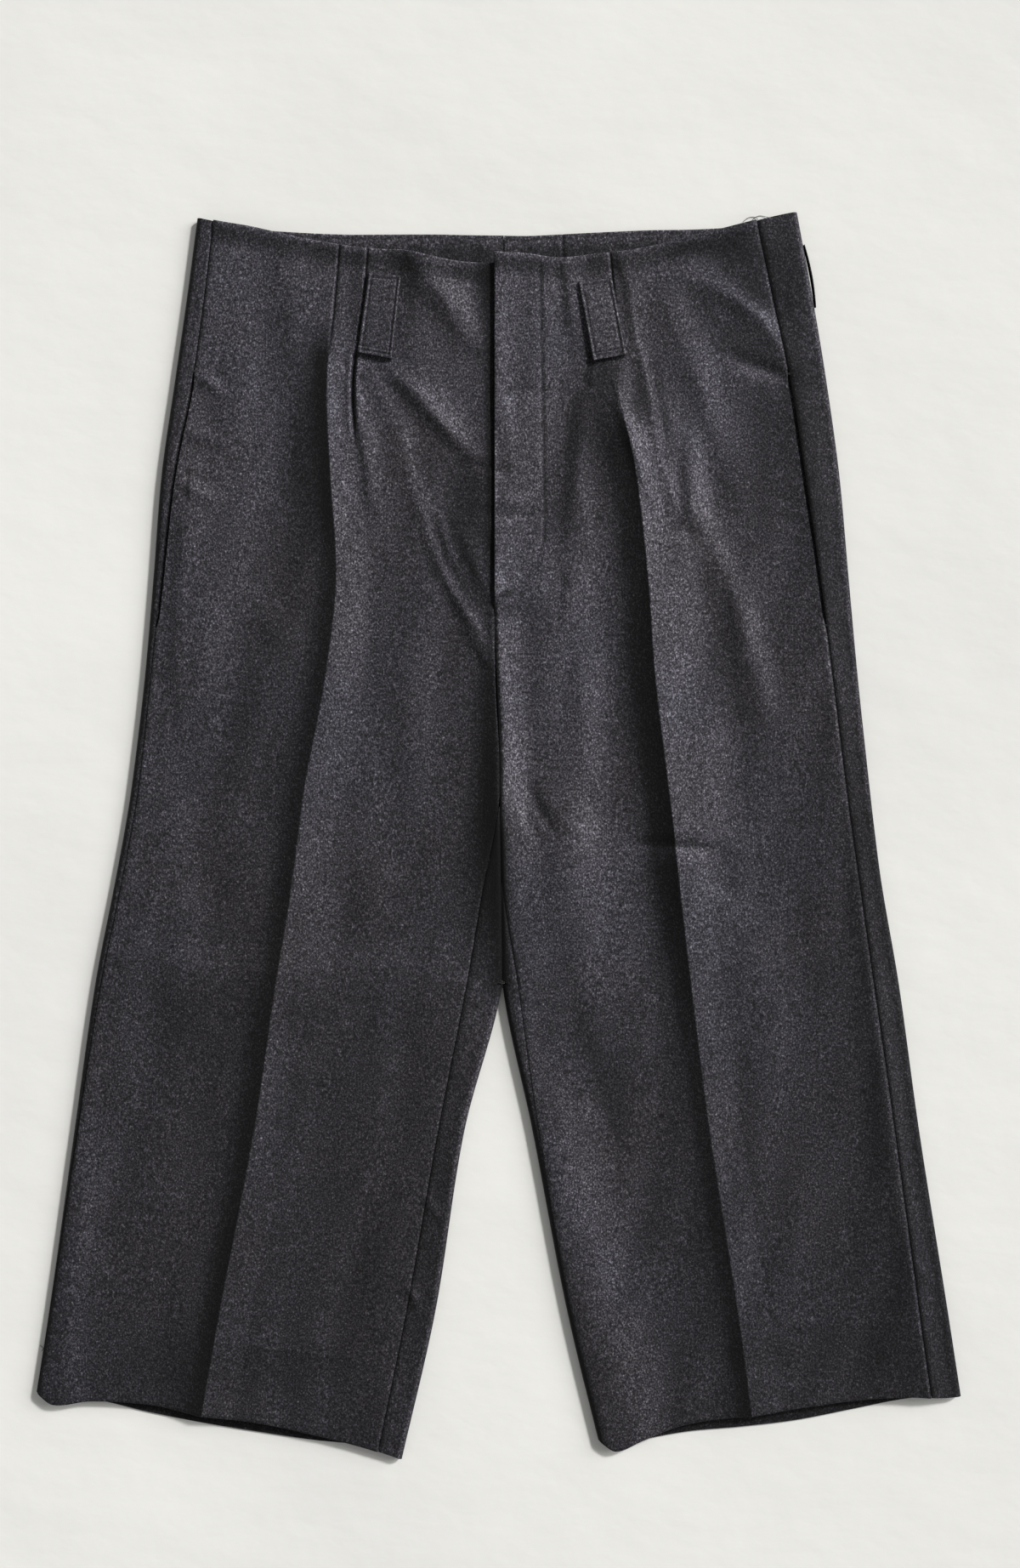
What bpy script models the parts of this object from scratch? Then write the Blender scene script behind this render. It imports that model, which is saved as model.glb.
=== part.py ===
"""Pleated wool trousers, laid flat with the front up.

Lengths are in millimetres until a point goes into a mesh. "down" is the distance from the top of the waist along
the garment, "across" the distance from the middle line towards the outer fold of a leg. +Y runs towards the waist,
+Z up from the surface that the trousers lie on. Left and right are the wearer's.
"""

import math

import bmesh
import bpy

METRES = 0.001

WALL = 1.6
HEM_WALL = 2.6
HEM_DEPTH = 51.0
THIN_WALL = 1.4
PIECE_GAP = 0.3
LENGTH = 792.0
MIDDLE_DOWN = 395.7
MIDDLE_X = 0.66
LAID_HEIGHT = 7.0
FOLD_RADIUS = 3.5
EDGE_EASE = 22.0

NOTCH_DOWN = 490.0
FLY_END = 245.0
FLY_WIDTH = 30.0
UNDERLAP_DROP = 1.9
CROWN_RISE = 1.7
CROWN_REACH = 78.0
POCKET_TOP = 102.0
POCKET_END = 264.0
POCKET_SLIT = 1.7
BEARER_WIDTH = 26.0
FACING_DEPTH = 42.0
BACK_SEAM_ACROSS = 4.0

# How far down the waist and hem curves bend the rows of points.
WAIST_REACH = 100.0
HEM_REACH = 172.0

# The outline of each leg: outer fold, side seam, front crease, front panel's inner edge and inner fold,
# all as distances across from the middle line.
LEG_COLUMNS = ("down", "fold", "seam", "crease", "inner", "turn")
RIGHT_LEG = (
    (0.0, 190.3, 179.6, 98.6, 1.8, -3.0),
    (54.0, 197.4, 186.0, 103.1, 2.5, -3.0),
    (108.0, 205.2, 193.9, 110.2, 2.9, -3.0),
    (167.0, 213.6, 205.7, 109.6, 1.8, -3.0),
    (232.0, 218.7, 213.3, 103.1, 1.7, -3.0),
    (297.0, 224.4, 220.1, 112.3, 1.4, -3.0),
    (362.0, 232.2, 227.3, 124.4, -1.6, -3.0),
    (390.0, 236.6, 231.6, 129.0, 1.3, -3.0),
    (427.0, 243.5, 238.7, 133.5, 8.9, -3.0),
    (490.0, 255.7, 251.6, 143.8, 19.7, -3.0),
    (583.0, 268.9, 266.5, 157.4, 37.8, 21.1),
    (697.0, 284.9, 283.8, 177.1, 57.8, 39.4),
    (792.0, 299.9, 299.1, 192.5, 77.2, 61.0),
)
LEFT_LEG = (
    (0.0, 190.1, 163.1, 68.0, -1.8, 3.0),
    (54.0, 200.1, 174.4, 73.7, -2.5, 3.0),
    (108.0, 209.0, 185.5, 78.6, -2.9, 3.0),
    (167.0, 217.1, 194.4, 87.2, -1.8, 3.0),
    (232.0, 223.0, 204.1, 94.8, -1.7, 3.0),
    (297.0, 229.0, 212.5, 99.6, -1.4, 3.0),
    (362.0, 236.0, 220.6, 107.5, 1.6, 3.0),
    (390.0, 239.2, 224.3, 111.0, 2.1, 3.0),
    (427.0, 244.1, 229.5, 114.8, 3.2, 3.0),
    (490.0, 254.9, 238.4, 122.3, 13.0, 3.0),
    (583.0, 267.8, 251.6, 134.2, 26.2, 22.1),
    (697.0, 285.9, 267.0, 152.0, 45.9, 44.0),
    (792.0, 300.4, 280.4, 164.5, 68.0, 67.0),
)

# Waist edges, as distances down, by the share of the way from the middle line to the outer fold.
WAIST_COLUMNS = ("share", "right_front", "right_back", "left_front", "left_back")
WAIST = (
    (0.0, 33.4, 14.6, 27.5, 14.6),
    (0.1, 33.3, 14.3, 28.2, 14.8),
    (0.2, 30.1, 13.9, 30.4, 13.9),
    (0.3, 25.7, 13.9, 28.0, 12.9),
    (0.4, 24.4, 14.0, 26.0, 12.0),
    (0.5, 22.3, 14.0, 22.4, 11.2),
    (0.65, 17.1, 12.8, 15.4, 10.7),
    (0.8, 10.7, 10.6, 8.5, 8.6),
    (0.92, 6.9, 6.9, 2.9, 3.6),
    (1.0, 3.8, 3.8, 0.0, 0.0),
)

# Hem edges, as distances down, by the share of the way from the outer fold to the inner fold.
HEM_COLUMNS = ("share", "right_front", "right_back", "left_front", "left_back")
HEM = (
    (0.0, 748.4, 748.4, 751.3, 751.3),
    (0.05, 756.0, 756.0, 751.7, 751.9),
    (0.15, 753.8, 754.6, 750.6, 754.0),
    (0.3, 755.8, 762.3, 753.4, 760.7),
    (0.45, 762.6, 769.2, 758.0, 767.4),
    (0.6, 767.3, 774.9, 763.3, 771.6),
    (0.75, 775.0, 780.1, 768.4, 774.7),
    (0.88, 782.5, 783.4, 779.0, 780.2),
    (0.96, 788.0, 788.0, 785.8, 785.8),
    (1.0, 791.4, 791.4, 779.2, 779.2),
)

# Soft ridges, and valleys with a height below nought, in the upper layer. Each runs straight from its head to its foot.
FOLD_COLUMNS = ("head_x", "head_down", "foot_x", "foot_down", "width", "height")
FOLDS = (
    (-78.0, 112.0, -10.0, 268.0, 11.0, 2.2),
    (-43.0, 34.0, -19.0, 64.0, 12.0, 1.2),
    (-66.0, 134.0, -55.0, 172.0, 6.0, -1.3),
    (-122.0, 88.0, -119.0, 196.0, 9.0, -1.8),
    (87.0, 28.0, 108.0, 166.0, 9.0, 2.2),
    (43.0, 28.0, 52.0, 195.0, 9.0, -1.4),
    (78.0, 134.0, 88.0, 290.0, 8.0, -1.5),
    (119.0, 55.0, 152.0, 145.0, 13.0, 1.6),
    (122.0, 196.0, 146.0, 236.0, 10.0, 1.6),
    (134.0, 238.0, 152.0, 277.0, 9.0, -1.2),
    (89.0, 400.0, 163.0, 407.0, 6.0, 1.0),
)
CREASE_HEIGHT = 3.6
CREASE_WIDTH = 10.0
PLEAT_DOWN = 135.0

# Belt loops on the front: the two upper corners and the two lower ones, as x and down.
LOOP_COLUMNS = ("name", "upper_left", "upper_right", "lower_left", "lower_right")
LOOPS = (
    ("belt_loop_front_right", (-81.6, 39.6), (-61.2, 41.7), (-88.8, 90.2), (-67.1, 94.4)),
    ("belt_loop_front_left", (51.0, 45.8), (72.2, 42.7), (60.3, 95.7), (81.3, 91.6)),
)
LOOP_WALL = 1.9
LOOP_SEAT = 0.5
LOOP_RISE = 1.2
BACK_LOOP_TOP = 20.0
BACK_LOOP_END = 60.0

# Rows of points down a panel.
ROW_COLUMNS = ("from", "to", "steps")
ROW_SPANS = (
    (0.0, 102.0, 5),
    (102.0, 264.0, 7),
    (264.0, 390.0, 5),
    (390.0, 440.0, 2),
    (440.0, 482.0, 2),
    (482.0, 490.0, 1),
    (490.0, 735.0, 10),
    (735.0, 742.0, 1),
    (742.0, 792.0, 2),
)


def smooth_step(low, high, value):
    share = min(max((value - low) / (high - low), 0.0), 1.0)
    return share * share * (3.0 - 2.0 * share)


def column_curve(rows, column):
    """A smooth curve through one column of a table, by the table's first column."""
    places = [row[0] for row in rows]
    values = [row[column] for row in rows]
    last = len(rows) - 1
    slopes = []
    for i in range(len(rows)):
        before, after = max(i - 1, 0), min(i + 1, last)
        slopes.append((values[after] - values[before]) / (places[after] - places[before]))

    def curve(place):
        i = 0
        while i < last - 1 and place > places[i + 1]:
            i += 1
        step = places[i + 1] - places[i]
        t = min(max((place - places[i]) / step, 0.0), 1.0)
        t2, t3 = t * t, t * t * t
        return (
            (2 * t3 - 3 * t2 + 1) * values[i]
            + (t3 - 2 * t2 + t) * step * slopes[i]
            + (3 * t2 - 2 * t3) * values[i + 1]
            + (t3 - t2) * step * slopes[i + 1]
        )

    return curve


class Leg:
    """One half of the trousers: its outline curves and the side of the middle line that it lies on."""

    def __init__(self, name, sign, rows):
        self.name = name
        self.sign = sign
        for column, label in enumerate(LEG_COLUMNS[1:], start=1):
            setattr(self, label, column_curve(rows, column))
        self.front_waist = column_curve(WAIST, WAIST_COLUMNS.index(name + "_front"))
        self.back_waist = column_curve(WAIST, WAIST_COLUMNS.index(name + "_back"))
        self.front_hem = column_curve(HEM, HEM_COLUMNS.index(name + "_front"))
        self.back_hem = column_curve(HEM, HEM_COLUMNS.index(name + "_back"))

    def centre(self, down):
        """The middle seam's place across, half a gap on this leg's side of it."""
        x = -1.8 + 3.4 * smooth_step(245.0, 362.0, down) + 1.4 * smooth_step(362.0, 490.0, down)
        return self.sign * x + PIECE_GAP / 2

    def inner_fold(self, down):
        """The inner fold below the notch, kept half a gap from the other leg's."""
        return max(self.turn(down), self.sign * 3.0 + PIECE_GAP / 2) if down < 560.0 else self.turn(down)

    def bent_down(self, station, across, upper_share):
        """The true distance down of a row's point, bent to the waist and hem edges of its layer."""
        waist_share = min(max(across / self.fold(station), 0.0), 1.0)
        waist = self.back_waist(waist_share)
        waist += (self.front_waist(waist_share) - waist) * upper_share
        width = self.fold(station) - self.turn(station)
        hem_share = min(max((self.fold(station) - across) / width, 0.0), 1.0)
        hem = self.back_hem(hem_share)
        hem += (self.front_hem(hem_share) - hem) * upper_share
        waist_pull = max(0.0, 1.0 - station / WAIST_REACH)
        hem_pull = min(max((station - LENGTH + HEM_REACH) / (HEM_REACH - HEM_DEPTH), 0.0), 1.0)
        return station + waist * waist_pull + (hem - LENGTH) * hem_pull


RIGHT = Leg("right", -1, RIGHT_LEG)
LEFT = Leg("left", 1, LEFT_LEG)


def row_stations():
    stations = [ROW_SPANS[0][0]]
    for low, high, steps in ROW_SPANS:
        stations += [low + (high - low) * (i + 1) / steps for i in range(steps)]
    return stations


def wall_at(station):
    return WALL + (HEM_WALL - WALL) * smooth_step(735.0, 742.0, station)


def fold_relief(x, down):
    """Height of the straight soft folds at a place on the upper layer."""
    total = 0.0
    for head_x, head_down, foot_x, foot_down, width, height in FOLDS:
        along_x, along_down = foot_x - head_x, foot_down - head_down
        length = math.hypot(along_x, along_down)
        share = ((x - head_x) * along_x + (down - head_down) * along_down) / length**2
        aside = ((x - head_x) * along_down - (down - head_down) * along_x) / length
        end = max(-share, share - 1.0, 0.0) * length
        total += height * math.exp(-((aside / width) ** 2) - (end / (1.6 * width)) ** 2)
    return total


def crease_relief(leg, across, down):
    """The pressed crease down the front, and the pleat beside it at the waist."""
    aside = (across - leg.crease(down)) / CREASE_WIDTH
    ridge = CREASE_HEIGHT * math.exp(-abs(aside) ** 1.5)
    pleat = (across - leg.crease(down) + leg.sign * 18.0) / 7.0
    depth = -1.4 * math.exp(-pleat * pleat) * (1.0 - smooth_step(PLEAT_DOWN - 40.0, PLEAT_DOWN + 20.0, down))
    return ridge * (0.65 + 0.35 * smooth_step(0.0, 90.0, down)) + depth


def crown(x, down):
    """The fly's extra layers lift the middle of the front."""
    reach = math.exp(-((x / CROWN_REACH) ** 4))
    return CROWN_RISE * reach * (1.0 - smooth_step(FLY_END, FLY_END + 110.0, down))


def relief(leg, across, down):
    """How far the upper layer rises above its plain laid height."""
    x = leg.sign * across
    return crown(x, down) + crease_relief(leg, across, down) + fold_relief(x, down)


def placed(leg, across, down, height):
    return (leg.sign * across - MIDDLE_X, MIDDLE_DOWN - down, height)


def skin_point(leg, across, down, upper, depth):
    """A point of the leg's tube: depth is how far it lies under the outer face."""
    from_outer = leg.fold(down) - across
    from_inner = across - leg.inner_fold(down) if down >= NOTCH_DOWN - 0.01 else LENGTH
    side = 1.0 if upper else -1.0
    middle = LAID_HEIGHT / 2
    place, height = across, middle + side * (middle - depth)
    if from_outer < FOLD_RADIUS:
        turn = max(1.0 - from_outer / FOLD_RADIUS, 0.0)
        place = leg.fold(down) - FOLD_RADIUS + (FOLD_RADIUS - depth) * turn
        height = middle + side * (middle - depth) * math.sqrt(max(1.0 - turn * turn, 0.0))
    elif from_inner < FOLD_RADIUS:
        turn = max(1.0 - from_inner / FOLD_RADIUS, 0.0)
        place = leg.inner_fold(down) + FOLD_RADIUS - (FOLD_RADIUS - depth) * turn
        height = middle + side * (middle - depth) * math.sqrt(max(1.0 - turn * turn, 0.0))
    if upper:
        ease = smooth_step(0.0, EDGE_EASE, min(from_outer, from_inner))
        height += ease * relief(leg, across, down)
    return placed(leg, place, down, height)


def closed_wall(name, outer, inner, used, material):
    """A closed cloth wall between two matching grids of points; used says which cells of the grid hold cloth."""
    body = bmesh.new()
    verts = {}

    def vert(grid, label, i, j):
        if (label, i, j) not in verts:
            verts[label, i, j] = body.verts.new([value * METRES for value in grid[i][j]])
        return verts[label, i, j]

    for i, row in enumerate(used):
        for j, cloth in enumerate(row):
            if not cloth:
                continue
            corners = ((i, j), (i, j + 1), (i + 1, j + 1), (i + 1, j))
            body.faces.new([vert(outer, "outer", *corner) for corner in corners])
            body.faces.new([vert(inner, "inner", *corner) for corner in reversed(corners)])
            neighbours = ((i - 1, j), (i, j + 1), (i + 1, j), (i, j - 1))
            for k, (ni, nj) in enumerate(neighbours):
                inside = 0 <= ni < len(used) and 0 <= nj < len(row) and used[ni][nj]
                if inside:
                    continue
                start, end = corners[k], corners[(k + 1) % 4]
                body.faces.new([
                    vert(outer, "outer", *end),
                    vert(outer, "outer", *start),
                    vert(inner, "inner", *start),
                    vert(inner, "inner", *end),
                ])
    bmesh.ops.recalc_face_normals(body, faces=body.faces)
    bmesh.ops.triangulate(body, faces=body.faces)
    mesh = bpy.data.meshes.new(name)
    body.to_mesh(mesh)
    body.free()
    mesh.shade_smooth()
    mesh.set_sharp_from_angle(angle=math.radians(45))
    mesh.materials.append(material)
    piece = bpy.data.objects.new(name, mesh)
    bpy.context.collection.objects.link(piece)
    return piece


def full(rows, columns):
    return [[True] * (columns - 1) for _ in range(rows - 1)]


def cloth_material(name, colour, roughness):
    material = bpy.data.materials.new(name)
    material.use_nodes = True
    shader = material.node_tree.nodes["Principled BSDF"]
    shader.inputs["Base Color"].default_value = (*colour, 1.0)
    shader.inputs["Roughness"].default_value = roughness
    shader.inputs["Metallic"].default_value = 0.0
    return material


INNER_SHARES = (0.0, 0.1, 0.22, 0.36, 0.5, 0.64, 0.76, 0.86, 0.94, 1.0)
OUTER_SHARES = (0.06, 0.14, 0.26, 0.42, 0.6, 0.8, 1.0)
UNDERLAP_SHARES = (1.0, 0.5)


def front_panel(leg, material):
    """A front, from the middle seam or inseam to the side seam. The right one runs on under the fly."""
    overlaps = leg.sign < 0
    stations = row_stations()
    outer, inner, used = [], [], []
    for station in stations:
        open_share = smooth_step(POCKET_TOP - 6.0, POCKET_TOP + 6.0, station)
        open_share *= 1.0 - smooth_step(POCKET_END - 6.0, POCKET_END + 6.0, station)
        outer_row, inner_row = [], []
        for kind, share in column_plan(overlaps):
            across = front_across(leg, station, kind, share, open_share)
            down = leg.bent_down(station, across, 1.0)
            across = front_across(leg, down, kind, share, open_share)
            drop = 0.0
            if overlaps:
                near = smooth_step(-24.0, -5.0, leg.sign * across)
                drop = UNDERLAP_DROP * near * (1.0 - smooth_step(FLY_END + 2.0, FLY_END + 45.0, down))
            if kind == "underlap":
                x, y, height = skin_point(LEFT, max(-across, 0.5), down, True, UNDERLAP_DROP)
                outer_row.append((x, y, height))
                inner_row.append((x, y, height - WALL))
                continue
            for row, depth in ((outer_row, 0.0), (inner_row, wall_at(station))):
                x, y, height = skin_point(leg, across, down, True, depth)
                row.append((x, y, height - drop))
        outer.append(outer_row)
        inner.append(inner_row)
    for station, after in zip(stations, stations[1:]):
        lap = len(UNDERLAP_SHARES) if overlaps else 0
        rest = len(outer[0]) - 1 - lap
        used.append([after <= FLY_END] * lap + [True] * rest)
    closed_wall("front_" + leg.name, outer, inner, used, material)


def column_plan(overlaps):
    plan = [("underlap", share) for share in UNDERLAP_SHARES] if overlaps else []
    plan += [("inner", share) for share in INNER_SHARES]
    return plan + [("outer", share) for share in OUTER_SHARES]


def front_edge(leg, down):
    """The inner edge of a front panel: the middle seam, and below the crotch the inseam."""
    return max(leg.inner(down), leg.centre(down))


def front_across(leg, down, kind, share, open_share):
    start = front_edge(leg, down)
    crease = leg.crease(down)
    if kind == "underlap":
        return start - share * FLY_WIDTH
    if kind == "inner":
        return start + (crease - start) * share
    end = leg.seam(down) - PIECE_GAP / 2 - POCKET_SLIT * open_share
    return crease + (end - crease) * share


QUARTER = FOLD_RADIUS * math.pi / 2
BOTTOM_SHARES = (0.2, 0.45, 0.7, 1.0)


def back_panel(leg, material):
    """A back, from the side seam on the upper side, round the outer fold and under the leg to the middle back
    seam, and below the notch round the inner fold to the inseam."""
    stations = row_stations()
    outer, inner, used = [], [], []
    for station in stations:
        outer_row, inner_row = [], []
        for j, (across, upper, upper_share) in enumerate(back_row(leg, station)):
            down = leg.bent_down(station, across, upper_share)
            across = back_row(leg, down)[j][0]
            outer_row.append(skin_point(leg, across, down, upper, 0.0))
            inner_row.append(skin_point(leg, across, down, upper, wall_at(station)))
        outer.append(outer_row)
        inner.append(inner_row)
    under_cells = 5 + len(BOTTOM_SHARES)
    flap_top = 390.0 if leg.sign < 0 else 440.0
    for station in stations[:-1]:
        wraps = station >= NOTCH_DOWN
        used.append([True] * under_cells + [wraps] * 4 + [station >= flap_top])
    closed_wall("back_" + leg.name, outer, inner, used, material)


def arc_length(from_fold):
    """How far along the cloth a place lies from the outermost line of a fold."""
    if from_fold < FOLD_RADIUS:
        return FOLD_RADIUS * math.acos(1.0 - from_fold / FOLD_RADIUS)
    return from_fold - FOLD_RADIUS + QUARTER


def arc_reach(length):
    """How far in from the outermost line of a fold the cloth has come after a length."""
    if length < QUARTER:
        return FOLD_RADIUS * (1.0 - math.cos(length / FOLD_RADIUS))
    return FOLD_RADIUS + length - QUARTER


def back_row(leg, down):
    """The columns of a back panel at a distance down: the place across, whether it is on the upper side, and how
    far its row follows the upper layer's edges."""
    fold, turn = leg.fold(down), leg.inner_fold(down)
    start = arc_length(fold - leg.seam(down) - PIECE_GAP / 2)
    bend = min(QUARTER, 0.6 * start)
    columns = []
    for length, upper_share in ((start, 1.0), (bend, 1.0), (bend / 2, 0.8)):
        columns.append((fold - arc_reach(length), True, upper_share))
    for length, upper_share in ((0.0, 0.5), (QUARTER / 2, 0.2), (QUARTER, 0.0)):
        columns.append((fold - arc_reach(length), False, upper_share))
    wraps = down >= NOTCH_DOWN - 0.01
    bottom_start = fold - FOLD_RADIUS
    bottom_end = turn + FOLD_RADIUS if wraps else leg.sign * BACK_SEAM_ACROSS + PIECE_GAP / 2
    for share in BOTTOM_SHARES:
        columns.append((bottom_start + (bottom_end - bottom_start) * share, False, 0.0))
    edge = front_edge(leg, down) - PIECE_GAP
    if wraps:
        end = arc_length(edge - turn)
        bend = min(QUARTER, 0.6 * end)
        columns.append((turn + arc_reach(QUARTER / 2), False, 0.2))
        columns.append((turn, True, 0.5))
        columns.append((turn + arc_reach(bend / 2), True, 0.8))
        columns.append((turn + arc_reach(bend), True, 1.0))
    else:
        columns += [(leg.centre(down), True, 1.0)] * 4
    columns.append((edge, True, 1.0))
    return columns


def waist_facing(leg, material):
    """The facing inside the back waist, which shows above the lower front edge."""
    outer, inner = [], []
    for i in range(4):
        outer_row, inner_row = [], []
        for j in range(8):
            start = leg.sign * BACK_SEAM_ACROSS + PIECE_GAP / 2
            end = leg.fold(20.0) - 2 * FOLD_RADIUS - 4.0
            across = start + (end - start) * j / 7
            down = leg.back_waist(min(max(across / leg.fold(20.0), 0.0), 1.0)) + 0.6 + FACING_DEPTH * i / 3
            outer_row.append(skin_point(leg, across, down, False, WALL + PIECE_GAP))
            inner_row.append(skin_point(leg, across, down, False, WALL + PIECE_GAP + THIN_WALL))
        outer.append(outer_row)
        inner.append(inner_row)
    closed_wall("waist_facing_" + leg.name, outer, inner, full(4, 8), material)


def pocket_bearer(leg, material):
    """The strip behind the side seam's pocket opening, which shows in the slit."""
    outer, inner = [], []
    rows, top, end = 9, POCKET_TOP - 8.0, POCKET_END + 8.0
    for i in range(rows):
        down = top + (end - top) * i / (rows - 1)
        outer_row, inner_row = [], []
        for share in (0.0, 0.1, 0.5, 1.0):
            across = leg.seam(down) + 1.0 - BEARER_WIDTH * share
            outer_row.append(skin_point(leg, across, down, True, WALL + PIECE_GAP + 0.1))
            inner_row.append(skin_point(leg, across, down, True, WALL + PIECE_GAP + THIN_WALL - 0.1))
        outer.append(outer_row)
        inner.append(inner_row)
    closed_wall("pocket_bearer_" + leg.name, outer, inner, full(rows, 4), material)


def blend(first, second, share):
    return tuple(a + (b - a) * share for a, b in zip(first, second))


def front_loop(name, upper_left, upper_right, lower_left, lower_right, material):
    """A belt loop on the front, fast at its ends and standing a little clear of the panel between them."""
    leg = RIGHT if upper_left[0] < 0 else LEFT
    rows, columns = 9, 5
    outer, inner = [], []
    for i in range(rows):
        along = i / (rows - 1)
        outer_row, inner_row = [], []
        for j in range(columns):
            share = j / (columns - 1)
            x, down = blend(blend(upper_left, upper_right, share), blend(lower_left, lower_right, share), along)
            x, y, height = skin_point(leg, leg.sign * x, down, True, 0.0)
            height += LOOP_SEAT + LOOP_RISE * math.sin(math.pi * along)
            end_fold = 0.8 * smooth_step(0.9, 0.97, along)
            inner_row.append((x, y, height))
            outer_row.append((x, y, height + LOOP_WALL + end_fold))
        outer.append(outer_row)
        inner.append(inner_row)
    closed_wall(name, outer, inner, full(rows, columns), material)


def back_loop(leg, material):
    """The edge of the back's belt loop that stands out past the outer fold."""
    rows = 5
    outer, inner = [], []
    for i in range(rows):
        along = i / (rows - 1)
        down = BACK_LOOP_TOP + (BACK_LOOP_END - BACK_LOOP_TOP) * along
        stand = 0.5 + 1.9 * math.sin(math.pi * (0.1 + 0.8 * along))
        outer_row, inner_row = [], []
        for turn in (-34.0, -12.0, 8.0):
            angle = math.radians(turn)
            for row, reach in ((inner_row, PIECE_GAP), (outer_row, PIECE_GAP + stand)):
                across = leg.fold(down) - FOLD_RADIUS + (FOLD_RADIUS + reach) * math.cos(angle)
                height = LAID_HEIGHT / 2 + (LAID_HEIGHT / 2 + min(reach, 1.6)) * math.sin(angle)
                row.append(placed(leg, across, down, height))
        outer.append(outer_row)
        inner.append(inner_row)
    closed_wall("belt_loop_back_" + leg.name, outer, inner, full(rows, 3), material)


def main():
    for old in list(bpy.data.objects):
        bpy.data.objects.remove(old, do_unlink=True)
    flannel = cloth_material("wool_flannel", (0.034, 0.031, 0.036), 0.92)
    facing = cloth_material("facing_cloth", (0.030, 0.028, 0.032), 0.9)
    for leg in (RIGHT, LEFT):
        front_panel(leg, flannel)
        back_panel(leg, flannel)
        waist_facing(leg, facing)
        pocket_bearer(leg, facing)
    for loop in LOOPS:
        front_loop(*loop, flannel)
    back_loop(LEFT, flannel)


main()
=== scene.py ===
"""Looks of the wool trousers laid flat: cloth on the solids' form, stitches, materials, light and camera.

Lengths are in millimetres until a point goes into a mesh. "down" is the distance from the top of the
waist along the garment, "across" the distance from the middle line towards the outer fold of a leg.
Left and right are the wearer's.
"""

import math

import bpy
import numpy as np
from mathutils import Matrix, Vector

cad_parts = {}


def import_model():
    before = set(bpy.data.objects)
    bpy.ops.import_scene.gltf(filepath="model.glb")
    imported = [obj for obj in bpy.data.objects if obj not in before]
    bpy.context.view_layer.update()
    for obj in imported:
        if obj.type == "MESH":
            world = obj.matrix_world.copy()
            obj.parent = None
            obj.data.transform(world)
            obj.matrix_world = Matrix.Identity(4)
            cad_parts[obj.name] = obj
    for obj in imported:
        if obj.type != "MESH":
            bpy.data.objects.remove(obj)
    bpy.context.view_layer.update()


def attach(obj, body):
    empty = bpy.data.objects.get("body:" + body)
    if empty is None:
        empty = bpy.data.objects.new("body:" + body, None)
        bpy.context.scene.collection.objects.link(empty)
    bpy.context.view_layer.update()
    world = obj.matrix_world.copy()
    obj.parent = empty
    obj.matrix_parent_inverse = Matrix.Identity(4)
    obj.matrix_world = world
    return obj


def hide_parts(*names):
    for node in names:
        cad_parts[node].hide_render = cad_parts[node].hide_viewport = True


METRES = 0.001

# The same sizes as the solids have, but for the creases, which run up to 4 mm nearer the middle.
WALL = 1.6
HEM_DEPTH = 51.0
PIECE_GAP = 0.3
LENGTH = 792.0
MIDDLE_DOWN = 395.7
MIDDLE_X = 0.66
LAID_HEIGHT = 7.0
FOLD_RADIUS = 3.5
EDGE_EASE = 22.0
NOTCH_DOWN = 490.0
RIGHT_FLAP_DOWN = 384.0
LEFT_FLAP_DOWN = 432.0
FLY_END = 245.0
FLY_LIFT = 3.3
FLY_REACH = 46.0
CROWN_RISE = 1.7
CROWN_REACH = 78.0
POCKET_TOP = 102.0
POCKET_END = 264.0
POCKET_SLIT = 1.7
BEARER_WIDTH = 26.0
FACING_DEPTH = 42.0
BACK_SEAM_ACROSS = 4.0
FACING_JOIN = 41.3
FACING_LEVEL = 20.0
WAIST_REACH = 100.0
HEM_REACH = 172.0
THIN_WALL = 1.4

LEG_COLUMNS = ("down", "fold", "seam", "crease", "inner", "turn")
RIGHT_LEG = (
    (0.0, 190.3, 179.6, 98.6, 1.8, -3.0),
    (54.0, 197.4, 186.0, 103.1, 2.5, -3.0),
    (108.0, 205.2, 193.9, 108.0, 2.9, -3.0),
    (167.0, 213.6, 205.7, 105.8, 1.8, -3.0),
    (232.0, 218.7, 213.3, 102.1, 1.7, -3.0),
    (297.0, 224.4, 220.1, 109.3, 1.4, -3.0),
    (362.0, 232.2, 227.3, 121.6, -1.6, -3.0),
    (390.0, 236.6, 231.6, 125.5, 1.3, -3.0),
    (427.0, 243.5, 238.7, 130.2, 8.9, -3.0),
    (490.0, 255.7, 251.6, 140.3, 19.7, -3.0),
    (583.0, 268.9, 266.5, 154.2, 37.8, 21.1),
    (697.0, 284.9, 283.8, 175.9, 57.8, 39.4),
    (792.0, 299.9, 299.1, 192.5, 77.2, 61.0),
)
LEFT_LEG = (
    (0.0, 190.1, 163.1, 68.0, -1.8, 3.0),
    (54.0, 200.1, 174.4, 73.7, -2.5, 3.0),
    (108.0, 209.0, 185.5, 75.3, -2.9, 3.0),
    (167.0, 217.1, 194.4, 87.2, -1.8, 3.0),
    (232.0, 223.0, 204.1, 94.8, -1.7, 3.0),
    (297.0, 229.0, 212.5, 99.6, -1.4, 3.0),
    (362.0, 236.0, 220.6, 107.5, 1.6, 3.0),
    (390.0, 239.2, 224.3, 111.0, 2.1, 3.0),
    (427.0, 244.1, 229.5, 114.8, 3.2, 3.0),
    (490.0, 254.9, 238.4, 122.3, 13.0, 3.0),
    (583.0, 267.8, 251.6, 134.2, 26.2, 22.1),
    (697.0, 285.9, 267.0, 152.0, 45.9, 44.0),
    (792.0, 300.4, 280.4, 164.5, 68.0, 67.0),
)
WAIST_COLUMNS = ("share", "right_front", "right_back", "left_front", "left_back")
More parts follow.
